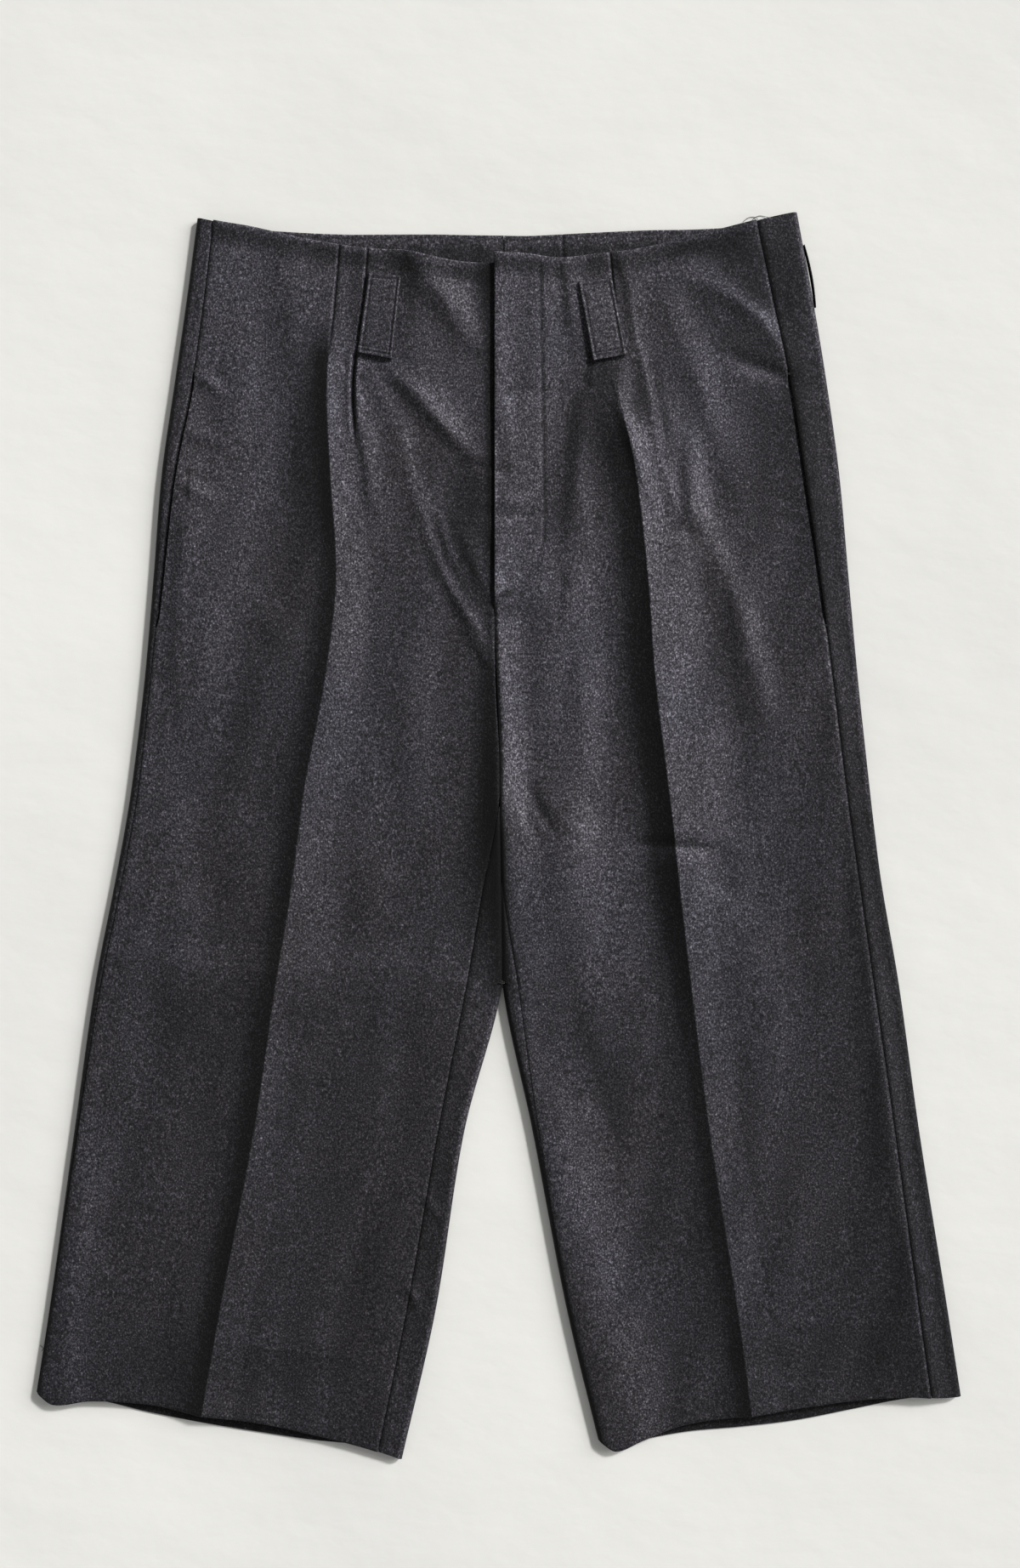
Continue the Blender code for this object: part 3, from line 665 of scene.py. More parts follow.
def left_shades(leg, across, down):
    """Strengths of the left leg's painted shade: crease flank, side seam, outer fold, crotch and inner
    fold.
    """
    aside = leg.sign * (across - leg.crease(down))
    low = smooth_step(400.0, 560.0, down)
    flank = between(aside, -20.0 + 8.0 * low, -12.0 + 5.0 * low, -0.8, 0.8)
    outside = smooth_step(0.0, 1.5, across - leg.seam(down))
    from_fold, from_inner = leg.fold(down) - across, across - leg.inner_fold(down)
    return [
        flank * (0.58 * smooth_step(125.0, 170.0, down) - 0.12 * low),
        (0.4 + 0.15 * smooth_step(60.0, 110.0, down)) * outside,
        0.5 * smooth_step(330.0, 400.0, down) * (1.0 - smooth_step(1.0, 9.0, from_fold)),
        0.92 * crotch_share(down) * bell(across - leg.centre(down), 7.0),
        0.72 * smooth_step(NOTCH_DOWN, NOTCH_DOWN + 15.0, down) * (1.0 - smooth_step(1.0, 9.0, from_inner)),
    ]


def painted_shade_and_light(leg, across, down):
    """Painted shade at seams, lines, folds and patches, up to 1 darker; below 0 it is painted light, paler.
    """
    x, down = np.broadcast_arrays(leg.sign * across, down)
    shades = line_shades(leg, across, down)
    shades += right_shades(leg, across, down) if leg.sign < 0 else left_shades(leg, across, down)
    for strength, right_width, left_width, path in SHADES:
        aside, along = beside_path(path, x, down)
        shades.append(strength * faded(along) * bell(aside, np.where(aside > 0.0, left_width, right_width)))
    for place_x, place_down, half_width, half_height, strength in PATCHES:
        far = ((x - place_x) / half_width) ** 2 + ((down - place_down) / half_height) ** 2
        shades.append(strength * np.exp(-far * far))
    light = np.ones(x.shape)
    for shade in shades:
        light = light * (1.0 - shade)
    return 1.0 - light


def ripple_relief(x, down):
    """Faint waves of cloth that doesn't lie quite flat."""
    total = np.zeros(np.broadcast(x, down).shape)
    for height, length, heading, phase in RIPPLES:
        ahead = x * math.cos(heading) + down * math.sin(heading)
        aside = down * math.cos(heading) - x * math.sin(heading)
        sway = 0.3 * length * np.sin(aside / (1.3 * length) + 2.0 * phase)
        total += height * np.sin(2.0 * math.pi * (ahead + sway) / length + phase)
    return total


def relief(leg, across, down):
    """How far the upper layer rises above its plain laid height."""
    x = leg.sign * across
    total = crown(x, down) + stroke_relief(x, down) + ripple_relief(x, down)
    total += crease_relief(leg, across, down) + middle_relief(leg, across, down)
    return total + side_relief(leg, across, down) + line_relief(leg, across, down)


def skin(leg, across, down, upper, depth):
    """Points of the leg's tube, as x, y and height. depth is how far they lie under the outer face."""
    across, down, upper = np.broadcast_arrays(across, down, upper)
    from_outer = leg.fold(down) - across
    from_inner = np.where(below_notch(down), across - leg.inner_fold(down), LENGTH)
    side = np.where(upper, 1.0, -1.0)
    middle = LAID_HEIGHT / 2
    at_outer = from_outer < FOLD_RADIUS
    at_inner = ~at_outer & (from_inner < FOLD_RADIUS)
    from_fold = np.where(at_outer, from_outer, np.where(at_inner, from_inner, FOLD_RADIUS))
    turn = np.clip(1.0 - from_fold / FOLD_RADIUS, 0.0, 1.0)
    reach = (FOLD_RADIUS - depth) * turn
    place = np.where(at_outer, leg.fold(down) - FOLD_RADIUS + reach, across)
    place = np.where(at_inner, leg.inner_fold(down) + FOLD_RADIUS - reach, place)
    height = middle + side * (middle - depth) * np.sqrt(1.0 - turn * turn)
    ease = smooth_step(0.0, EDGE_EASE, np.minimum(from_outer, from_inner))
    height = height + np.where(upper, ease * relief(leg, across, down), 0.0)
    return np.stack([leg.sign * place - MIDDLE_X, MIDDLE_DOWN - down, height], axis=-1)


def clustered(count, crowd):
    """Shares from 0 to 1, crowded towards both ends."""
    t = np.linspace(0.0, 1.0, count + 1)
    return t - crowd * np.sin(2.0 * np.pi * t) / (2.0 * np.pi)


def add_object(name, data):
    item = bpy.data.objects.new(name, data)
    bpy.context.collection.objects.link(item)
    return item


def mesh_piece(name, points, faces, material, sharp_angle=50.0):
    """An object from points in millimetres and an array of faces. A fourth number is a point's painted
    shading.
    """
    mesh = bpy.data.meshes.new(name)
    points = np.asarray(points)
    mesh.from_pydata((points[:, :3] * METRES).tolist(), [], [tuple(face) for face in faces])
    if points.shape[1] > 3:
        shade = mesh.attributes.new("seam_shade", "FLOAT", "POINT")
        shade.data.foreach_set("value", np.ascontiguousarray(points[:, 3], np.float32))
    mesh.shade_smooth()
    mesh.set_sharp_from_angle(angle=math.radians(sharp_angle))
    mesh.materials.append(material)
    piece = add_object(name, mesh)
    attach(piece, "root")
    return piece


def grid_faces(rows, columns, used=None, flip=False):
    """Quads of a grid of points, leaving out the cells that hold no cloth."""
    i, j = np.meshgrid(np.arange(rows - 1), np.arange(columns - 1), indexing="ij")
    corner = i * columns + j
    quads = np.stack([corner, corner + columns, corner + columns + 1, corner + 1], axis=-1)
    if flip:
        quads = quads[..., ::-1]
    return quads[used] if used is not None else quads.reshape(-1, 4)


def shaded(points, shade):
    """The points with their painted shading as a fourth number."""
    return np.concatenate([points, np.broadcast_to(shade, points.shape[:-1])[..., None]], axis=-1)


def rolled(points, sides, shades=ROLL_SHADES):
    """The grid with its raw edges turned under: each of the sides gets a round lip and a short return,
    painted darker under the lip as shade.
    """
    for axis, way in sides:
        grid = np.moveaxis(points, axis, 0)[::way]
        edge = grid[0]
        away = edge - grid[2]
        away[..., 2:] = 0.0
        away /= np.maximum(np.linalg.norm(away, axis=-1, keepdims=True), 1e-6)
        strips = []
        for (out, sink), shade in zip(ROLL_STEPS, shades):
            strip = edge + away * out
            strip[..., 2] += sink
            strip[..., 3] = np.maximum(strip[..., 3], shade)
            strips.append(strip)
        grid = np.concatenate([np.stack(strips[::-1]), grid])
        points = np.moveaxis(grid[::way], 0, axis)
    return points


def cloth_piece(form, points, material, flip=False, faces=None):
    """A piece of cloth that takes a solid's place. In its name, "_cloth" fills the gap of the form."""
    if faces is None:
        faces = grid_faces(*points.shape[:2], flip=flip)
    piece = mesh_piece(form.format("_cloth"), points.reshape(-1, 4), faces, material)
    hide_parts(form.format(""))
    return piece


def stations(count):
    return np.linspace(0.0, LENGTH, count)[:, None]


def front_columns(leg, down, opened):
    """Places across of a front's columns, crowded at the seams, the fly's stitching, pleat and crease."""
    start = leg.front_edge(down)
    end = leg.seam(down) - PIECE_GAP / 2 - POCKET_SLIT * opened
    crease, pleat = leg.crease(down), leg.pleat(down)
    near, far = np.minimum(crease, pleat), np.maximum(crease, pleat)
    places = (start + SEAM_REACH, fly_stitch(leg, down), near, far, end - SEAM_REACH)
    parts = [start + np.array(SEAM_OFFSETS)[None, :]]
    for low, high, count in zip(places[:-1], places[1:], FRONT_CELLS):
        shares = clustered(count, 0.75)[None, :]
        parts.append((low + (high - low) * shares)[:, :-1])
    parts.append(end - SEAM_REACH + 0.0 * down)
    parts.append(end - np.array(SEAM_OFFSETS[::-1])[None, :])
    return np.concatenate(parts, axis=1)


def open_share(station):
    """How far a side pocket's slit is open."""
    return between(station, POCKET_TOP - 4.0, POCKET_TOP + 10.0, POCKET_END - 10.0, POCKET_END + 4.0)


def underlap(points, down):
    """A strip more of the right front, which goes on under the fly's edge."""
    under = 1.0 - smooth_step(FLY_END + 2.0, FLY_END + 25.0, down[:, :1])
    strips = []
    for reach, sink in UNDERLAP_STEPS:
        strip = points[:, :1].copy()
        strip[..., 0] += reach * under
        strip[..., 2] -= sink * under
        # The strip is painted dark as the shadow under the fly's edge.
        strip[..., 3] = 0.8
        strips.append(strip)
    return np.concatenate(strips + [points], axis=1)


def fly_relief(x, down):
    """How far the fly lifts the left front over the right one, most at its edge."""
    fly = 1.0 - smooth_step(FLY_END - 4.0, FLY_END + 14.0, down)
    plateau = FLY_LIFT * np.clip(1.0 - x / FLY_REACH, 0.0, 1.0) ** 1.2
    return fly * (plateau + 0.15 * bell(x, 8.0))


def front_panel(leg, material):
    """A front, rolled at its waist and hem, and at the fly where it is the upper one."""
    station = stations(FRONT_ROWS)
    opened = open_share(station)
    across = front_columns(leg, station, opened)
    down = leg.bent_down(station, across, 1.0)
    rows = [front_columns(leg, down[:, j : j + 1], opened)[:, j : j + 1] for j in range(across.shape[1])]
    across = np.concatenate(rows, axis=1)
    edge = leg.front_top(across, down)
    # Painted shade in a band just below the front's turned waist edge.
    band = 0.4 * between(down - edge, 1.5, 4.5, 6.0, 16.0)
    dark = 1.0 - (1.0 - painted_shade_and_light(leg, across, down)) * (1.0 - band)
    points = shaded(skin(leg, across, down, True, 0.0), dark)
    points[..., 2] += waist_relief(leg, across, down)
    if leg.sign < 0:
        points = underlap(points, down)
        points = rolled(points, (FIRST_ROW, LAST_ROW))
    else:
        points[..., 2] += fly_relief(leg.sign * across, down)
        points = rolled(points, (FIRST_COLUMN, FIRST_ROW, LAST_ROW))
    return cloth_piece("front{}_" + leg.name, points, material, flip=leg.sign < 0)


def arc_length(from_fold):
    """How far along the cloth a place lies from the outermost line of a fold."""
    bent = FOLD_RADIUS * np.arccos(np.clip(1.0 - from_fold / FOLD_RADIUS, -1.0, 1.0))
    return np.where(from_fold < FOLD_RADIUS, bent, from_fold - FOLD_RADIUS + QUARTER)


def arc_reach(length):
    """How far in from the outermost line of a fold the cloth has come after a length."""
    bent = FOLD_RADIUS * (1.0 - np.cos(length / FOLD_RADIUS))
    return np.where(length < QUARTER, bent, FOLD_RADIUS + length - QUARTER)


def back_columns(leg, down):
    """Places across of a back's columns, with whether each is on the upper side and how far it follows the
    upper edges. They run from the side seam round the outer fold and under the leg to the middle seam, or
    below the notch round the inner fold."""
    fold, turn = leg.fold(down), leg.inner_fold(down)
    start = arc_length(fold - leg.seam(down) - PIECE_GAP / 2)
    bend = np.minimum(QUARTER, 0.6 * start)
    places, upper, shares = [], [], []

    def add(place, is_upper, share):
        places.append(place)
        upper.append(is_upper)
        shares.append(share)

    for t in clustered(STRIP_CELLS, 0.5)[:-1]:
        add(fold - arc_reach(start + (bend - start) * t), True, 1.0)
    for t in np.linspace(0.0, 1.0, ARC_CELLS + 1)[:-1]:
        add(fold - arc_reach(bend * (1.0 - t)), True, 1.0 - 0.5 * t)
    for t in np.linspace(0.0, 1.0, ARC_CELLS + 1)[:-1]:
        add(fold - arc_reach(QUARTER * t), False, 0.5 - 0.5 * t)
    wraps = below_notch(down)
    low = fold - FOLD_RADIUS
    high = np.where(wraps, turn + FOLD_RADIUS, leg.sign * BACK_SEAM_ACROSS + PIECE_GAP / 2)
    for t in np.linspace(0.0, 1.0, BOTTOM_CELLS + 1):
        add(low + (high - low) * t, False, 0.0)
    edge = leg.front_edge(down) - PIECE_GAP
    end = arc_length(edge - turn)
    bend = np.minimum(QUARTER, 0.6 * end)
    centre = leg.centre(down)
    for t in np.linspace(0.0, 1.0, ARC_CELLS + 1)[1:-1]:
        add(np.where(wraps, turn + arc_reach(QUARTER * (1.0 - t)), centre), False, 0.5 * t)
    for t in np.linspace(0.0, 1.0, ARC_CELLS + 1)[:-1]:
        add(np.where(wraps, turn + arc_reach(bend * t), centre), True, 0.5 + 0.5 * t)
    for t in clustered(FLAP_CELLS, 0.5):
        wrapped = turn + arc_reach(bend + (end - bend) * t)
        add(np.where(wraps, wrapped, centre + (edge - centre) * t), True, 1.0)
    across = np.concatenate([place + 0.0 * down for place in places], axis=1)
    return across, np.array(upper)[None, :], np.array(shares)[None, :]


def back_panel(leg, material):
    """A back: an outer skin with its hem turned in, and the crotch point beside the middle seam."""
    flap_top = (RIGHT_FLAP_DOWN if leg.sign < 0 else LEFT_FLAP_DOWN) - FLAP_REACH
    station = stations(BACK_ROWS)
    station[np.argmin(np.abs(station - NOTCH_DOWN))] = NOTCH_DOWN
    across, upper, share = back_columns(leg, station)
    down = leg.bent_down(station, across, share)
    columns = [back_columns(leg, down[:, j : j + 1])[0][:, j : j + 1] for j in range(across.shape[1])]
    across = np.concatenate(columns, axis=1)
    points = shaded(skin(leg, across, down, upper, 0.0), painted_shade_and_light(leg, across, down) * upper)
    turned = []
    for up, depth, shade in HEM_TURN:
        turned.append(shaded(skin(leg, across[-1:], down[-1:] - up, upper, depth), shade))
    points = np.concatenate([points] + turned, axis=0)
    count = points.shape[1]
    flap_first = count - FLAP_CELLS - 1
    under_last = STRIP_CELLS + 2 * ARC_CELLS + BOTTOM_CELLS
    starts = np.concatenate([station[:, 0], np.full(len(turned), LENGTH)])[:-1]
    used = np.ones((points.shape[0] - 1, count - 1), bool)
    used[:, under_last:flap_first] &= below_notch(starts)[:, None]
    used[:, flap_first:] &= (starts >= flap_top)[:, None]
    faces = grid_faces(points.shape[0], count, used, flip=leg.sign > 0)
    points = points.reshape(-1, 4)
    kept = np.unique(faces)
    index = np.full(len(points), -1)
    index[kept] = np.arange(len(kept))
    return cloth_piece("back{}_" + leg.name, points[kept], material, faces=index[faces])


def waist_facing(leg, material):
    """The facing inside the back waist, from just below its top edge."""
    start = leg.sign * BACK_SEAM_ACROSS + PIECE_GAP / 2
    end = leg.fold(FACING_LEVEL) - 2 * FOLD_RADIUS
    across = np.linspace(start, end, 190)[None, :]
    edge = leg.back_top(across)
    down = edge + 0.2 + FACING_DEPTH * np.linspace(0.0, 1.0, 40)[:, None]
    points = skin(leg, across, down, False, WALL + PIECE_GAP + THIN_WALL)
    waves = 0.25 * np.sin(across * 0.11 + 1.0) + 0.15 * np.sin(across * 0.31)
    points[..., 2] += waves * smooth_step(0.0, 12.0, down - edge)
    join = (leg.sign > 0) * bell(across - FACING_JOIN, 0.9)
    points[..., 2] -= 0.6 * join
    # Painted shade: dark lines at the facing's join and seams, in their grooves, and the front edge's
    # painted shadow.
    front_edge_shadow = smooth_step(2.0, 11.0, down - edge)
    sewn = np.maximum(0.55 * bell(down - edge - 1.9, 0.6), 0.9 * bell(across - start, 0.9))
    points = shaded(points, np.maximum(np.maximum(0.6 * join, sewn), 0.6 * front_edge_shadow))
    points = rolled(points, (FIRST_ROW,))
    return cloth_piece("waist_facing{}_" + leg.name, points, material, flip=leg.sign < 0)


def pocket_bearer(leg, material):
    """The strip that shows in the pocket's slit."""
    down = np.linspace(POCKET_TOP - 8.0, POCKET_END + 8.0, 60)[:, None]
    across = leg.seam(down) + 1.0 - BEARER_WIDTH * np.linspace(0.0, 1.0, 14)[None, :]
    # The bearer is painted dark all over as shade, deep inside the pocket's slit.
    points = shaded(skin(leg, across, down, True, WALL + PIECE_GAP + 0.1), 0.6)
    return cloth_piece("pocket_bearer{}_" + leg.name, points, material, flip=leg.sign > 0)


def loop_point(corners, share, along, lift):
    """Points on a front belt loop, which spans flat between its corners, clear of the cloth under it."""
    upper_left, upper_right, lower_left, lower_right = corners
    leg = RIGHT if upper_left[0] < 0 else LEFT
    places = np.array(corners)
    seats = skin(leg, leg.sign * places[:, 0], places[:, 1], True, 0.0)[:, 2]

    def spread(values):
        top = values[0] + (values[1] - values[0]) * share[..., None]
        low = values[2] + (values[3] - values[2]) * share[..., None]
        return top + (low - top) * along[..., None]

    place = spread(places)
    points = skin(leg, leg.sign * place[..., 0], place[..., 1], True, 0.0)
    flat = spread(seats[:, None])[..., 0]
    swell = LOOP_RISE * np.sin(np.pi * along)
    clear = np.max(points[..., 2] - flat - swell, axis=1, keepdims=True)
    points[..., 2] = flat + swell + np.maximum(clear, 0.0) + LOOP_SEAT + lift
    return points


def front_loop(name, corners, material):
    """A belt loop: folded strip with topstitching sunk beside its edges and a thick turned lower end."""
    rows, columns = 90, 40
    share, along = np.meshgrid(np.linspace(0.02, 0.98, columns), np.linspace(0.01, 0.99, rows))
    side = np.minimum(share, 1.0 - share) * LOOP_WIDTH
    end = np.minimum(along, 1.0 - along) * LOOP_LENGTH
    sunk = np.maximum(bell(side - 2.2, 0.6) * (end > 2.0), bell(end - 2.6, 0.6) * (side > 2.0))
    lip = 0.9 * smooth_step(0.90, 0.925, along)
    puff = 0.25 * bell(side - 1.0, 0.8)
    # Painted shade in the sunk topstitching, and a dark line above the turned lower end as its painted
    # shadow.
    points = shaded(loop_point(corners, share, along, LOOP_WALL - 0.3 * sunk + lip + puff), 0.35 * sunk)
    points[..., 3] = np.maximum(points[..., 3], 0.85 * bell(along - 0.903, 0.014))
    points = rolled(points, (FIRST_COLUMN, LAST_COLUMN, FIRST_ROW, LAST_ROW), LOOP_ROLL_SHADES)
    return cloth_piece(name + "{}", points, material, flip=True)


def back_loop(leg, material):
    """The edge of the back's belt loop that stands out past the outer fold."""
    along = np.linspace(0.0, 1.0, 30)[:, None]
    angle = np.radians(np.linspace(-34.0, 8.0, 10))[None, :]
    down = BACK_LOOP_TOP + (BACK_LOOP_END - BACK_LOOP_TOP) * along
    stand = 0.5 + 1.9 * np.sin(np.pi * (0.1 + 0.8 * along))
    reach = PIECE_GAP + stand * np.sin(np.pi * np.linspace(0.08, 0.92, 10))[None, :] ** 0.3
    across = leg.fold(down) - FOLD_RADIUS + (FOLD_RADIUS + reach) * np.cos(angle)
    height = LAID_HEIGHT / 2 + (LAID_HEIGHT / 2 + np.minimum(reach, WALL)) * np.sin(angle)
    y = MIDDLE_DOWN - down + 0.0 * across
    # The loop's edge is painted dark all over as shade under the overhanging fold.
    points = shaded(np.stack([leg.sign * across - MIDDLE_X, y, height + 0.0 * across], axis=-1), 0.88)
    return cloth_piece("belt_loop_back{}_" + leg.name, points, material)


def stitches(line, pitch=STITCH_PITCH, length=STITCH_LENGTH):
    """Start and end points of the stitches along a line of points."""
    steps = np.linalg.norm(np.diff(line, axis=0), axis=1)
    gone = np.concatenate([[0.0], np.cumsum(steps)])
    starts = np.arange(0.2, gone[-1] - length, pitch)
    first = np.stack([np.interp(starts, gone, line[:, k]) for k in range(3)], axis=1)
    last = np.stack([np.interp(starts + length, gone, line[:, k]) for k in range(3)], axis=1)
    return first, last


def bar(start, end, width):
    """The crosswise stitches of a bartack between two points."""
    start, end = np.asarray(start), np.asarray(end)
    count = int(np.linalg.norm(end - start) / 0.5)
    t = np.linspace(0.0, 1.0, count)[:, None]
    middle = start + (end - start) * t
    along = (end - start) / np.linalg.norm(end - start)
    aside = np.array([-along[1], along[0], 0.0]) * width / 2
    return middle - aside, middle + aside


def thread_piece(name, pairs, material):
    """All the stitches of one kind: short arched threads, each three rings of three points."""
    first = np.concatenate([pair[0] for pair in pairs])
    last = np.concatenate([pair[1] for pair in pairs])
    along = last - first
    along /= np.linalg.norm(along, axis=1, keepdims=True)
    aside = np.stack([-along[:, 1], along[:, 0], 0.0 * along[:, 0]], axis=1) * STITCH_WIDTH / 2
    up = np.array([0.0, 0.0, 1.0])
    rings = []
    for share, wide, high in ((0.0, 0.5, 0.0), (0.5, 1.0, 0.22), (1.0, 0.5, 0.0)):
        middle = first + (last - first) * share
        foot = middle - 0.1 * up
        rings += [foot - aside * wide, middle + (high + 0.05) * up, foot + aside * wide]
    points = np.stack(rings, axis=1)
    pattern = np.array([(0, 1, 4, 3), (1, 2, 5, 4), (3, 4, 7, 6), (4, 5, 8, 7)])
    faces = (np.arange(len(points))[:, None, None] * 9 + pattern[None]).reshape(-1, 4)
    return mesh_piece(name, points.reshape(-1, 3), faces, material, sharp_angle=180.0)


def on_front(leg, across, down, lift=0.0):
    """Points on the face of a front."""
    points = skin(leg, across, down, True, 0.0)
    points[..., 2] += waist_relief(leg, across, down) + lift
    if leg.sign > 0:
        points[..., 2] += fly_relief(across, down)
    return points


def fly_line():
    """The fly's stitching: down beside the edge, then round to it at the end."""
    down = np.linspace(36.0, FLY_BEND, 80)
    across = fly_stitch(LEFT, down)
    turn = np.radians(np.linspace(3.0, 84.0, 40))
    edge = float(LEFT.front_edge(FLY_END))
    wide = across[-1] - edge
    across = np.concatenate([across, edge + wide * np.cos(turn)])
    down = np.concatenate([down, FLY_BEND + (FLY_END - 1.0 - FLY_BEND) * np.sin(turn)])
    return on_front(LEFT, across, down)


def loop_lines(corners):
    """Topstitching near the sides and ends of a belt loop."""
    lines = []
    for shares, alongs in (
        ((0.10, 0.10), (0.05, 0.89)),
        ((0.90, 0.90), (0.05, 0.89)),
        ((0.10, 0.90), (0.05, 0.05)),
        ((0.10, 0.90), (0.875, 0.875)),
    ):
        share = np.linspace(*shares, 40)[:, None]
        along = np.linspace(*alongs, 40)[:, None]
        lines.append(loop_point(corners, share, along, LOOP_WALL - 0.25)[:, 0])
    return lines


def facing_line(leg):
    """The line that holds the facing, just under the back's top edge."""
    across = np.linspace(leg.sign * BACK_SEAM_ACROSS + 1.5, leg.fold(FACING_LEVEL) - 2.5 * FOLD_RADIUS, 120)
    down = leg.back_top(across) + 1.9
    return skin(leg, across, down, False, WALL + PIECE_GAP + THIN_WALL - 0.1)


def loose_line(path):
    """A smooth line through the points of a loose thread, on the floor."""
    path = np.array(path)
    rows = [(float(k), *point) for k, point in enumerate(path)]
    t = np.linspace(0.0, len(path) - 1.0, 12 * len(path))
    x, down = column_curve(rows, 1)(t), column_curve(rows, 2)(t)
    return np.stack([x - MIDDLE_X, MIDDLE_DOWN - down, 0.25 + 0.5 * np.sin(2.0 * t) ** 2], axis=-1)


def sewing(material):
    """All the thread that shows."""
    lines = [fly_line(), facing_line(RIGHT), facing_line(LEFT)]
    for _, *corners in LOOPS:
        lines += loop_lines(corners)
    seams = thread_piece("stitches", [stitches(line) for line in lines], material)
    pairs = []
    for side, *ends in BARTACKS:
        leg = RIGHT if side == "right" else LEFT
        ends = np.array(ends)
        start, end = on_front(leg, ends[:, 0], ends[:, 1])
        pairs.append(bar(start, end, 1.5))
    loose = [loose_line(path) for path in LOOSE_THREADS]
    ends = thread_piece("loose_threads", [(line[:-1], line[1:]) for line in loose], material)
    return seams, ends, thread_piece("bartacks", pairs, material)


def new_material(name):
    material = bpy.data.materials.new(name)
    material.use_nodes = True
    return material, material.node_tree, material.node_tree.nodes["Principled BSDF"]


def noise_node(tree, source, scale, detail, stretch=(1.0, 1.0, 1.0)):
    mapping = tree.nodes.new("ShaderNodeMapping")
    mapping.inputs["Scale"].default_value = stretch
    tree.links.new(source, mapping.inputs["Vector"])
    noise = tree.nodes.new("ShaderNodeTexNoise")
    noise.inputs["Scale"].default_value = scale
    noise.inputs["Detail"].default_value = detail
    tree.links.new(mapping.outputs["Vector"], noise.inputs["Vector"])
    return noise.outputs["Fac"]


def ramp_node(tree, source, stops):
    ramp = tree.nodes.new("ShaderNodeValToRGB")
    while len(ramp.color_ramp.elements) < len(stops):
        ramp.color_ramp.elements.new(0.5)
    for element, (position, colour) in zip(ramp.color_ramp.elements, stops):
        element.position = position
        element.color = (*colour, 1.0)
    tree.links.new(source, ramp.inputs["Fac"])
    return ramp.outputs["Color"]


def grey_node(tree, source, *stops):
    return ramp_node(tree, source, [(position, (tone,) * 3) for position, tone in stops])


def multiplied(tree, colour, *factors):
    """The colour times each of the factors in turn."""
    for factor in factors:
        mix = tree.nodes.new("ShaderNodeMix")
        mix.data_type = "RGBA"
        mix.blend_type = "MULTIPLY"
        mix.inputs["Factor"].default_value = 1.0
        tree.links.new(colour, mix.inputs["A"])
        tree.links.new(factor, mix.inputs["B"])
        colour = mix.outputs["Result"]
    return colour


def range_node(tree, source, from_low, from_high, to_low=0.0, to_high=1.0, kind="LINEAR"):
    fade = tree.nodes.new("ShaderNodeMapRange")
    fade.interpolation_type = kind
    values = {"From Min": from_low, "From Max": from_high, "To Min": to_low, "To Max": to_high}
    for socket, value in values.items():
        fade.inputs[socket].default_value = value
    tree.links.new(source, fade.inputs["Value"])
    return fade.outputs["Result"]


def part_node(tree, source, axis):
    """One part of a vector: X, Y or Z."""
    parts = tree.nodes.new("ShaderNodeSeparateXYZ")
    tree.links.new(source, parts.inputs[0])
    return parts.outputs[axis]


def bump_normal(tree, shader, height, strength, distance):
    bump = tree.nodes.new("ShaderNodeBump")
    bump.inputs["Strength"].default_value = strength
    bump.inputs["Distance"].default_value = distance
    tree.links.new(height, bump.inputs["Height"])
    tree.links.new(bump.outputs["Normal"], shader.inputs["Normal"])


def math_node(tree, operation, *sources):
    node = tree.nodes.new("ShaderNodeMath")
    node.operation = operation
    for socket, source in zip(node.inputs, sources):
        if isinstance(source, float):
            socket.default_value = source
        else:
            tree.links.new(source, socket)
    return node.outputs["Value"]


def painted_slope_light(tree):
    """Painted light and shade: cloth that tilts towards the lights' side is painted paler, and cloth that
    tilts away from it is painted darker."""
    normal = tree.nodes.new("ShaderNodeTexCoord").outputs["Normal"]
    tilt = tree.nodes.new("ShaderNodeVectorMath")
    tilt.operation = "DOT_PRODUCT"
    tree.links.new(normal, tilt.inputs[0])
    tilt.inputs[1].default_value = PAINTED_LIGHT_DIRECTION
    facing_up = range_node(tree, part_node(tree, normal, "Z"), 0.45, 0.85, kind="SMOOTHSTEP")
    held = math_node(tree, "MULTIPLY", tilt.outputs["Value"], facing_up)
    shade = math_node(tree, "EXPONENT", math_node(tree, "MULTIPLY", held, PAINTED_LIGHT_STRENGTH))
    return math_node(tree, "MINIMUM", math_node(tree, "MAXIMUM", shade, 0.2), 2.1)


def seam_shade(tree):
    """What the painted shading of the mesh's points leaves of the colour: darker under painted shade, paler
    under painted light.
    """
    shade = tree.nodes.new("ShaderNodeAttribute")
    shade.attribute_name = "seam_shade"
    return math_node(tree, "SUBTRACT", 1.0, shade.outputs["Fac"])


def painted_lengthwise_light(tree, place):
    """Painted light and shade: the cloth is painted paler towards the waist and darker towards the hems."""
    return range_node(tree, part_node(tree, place, "Y"), -0.38, 0.34, 0.53, 1.34)


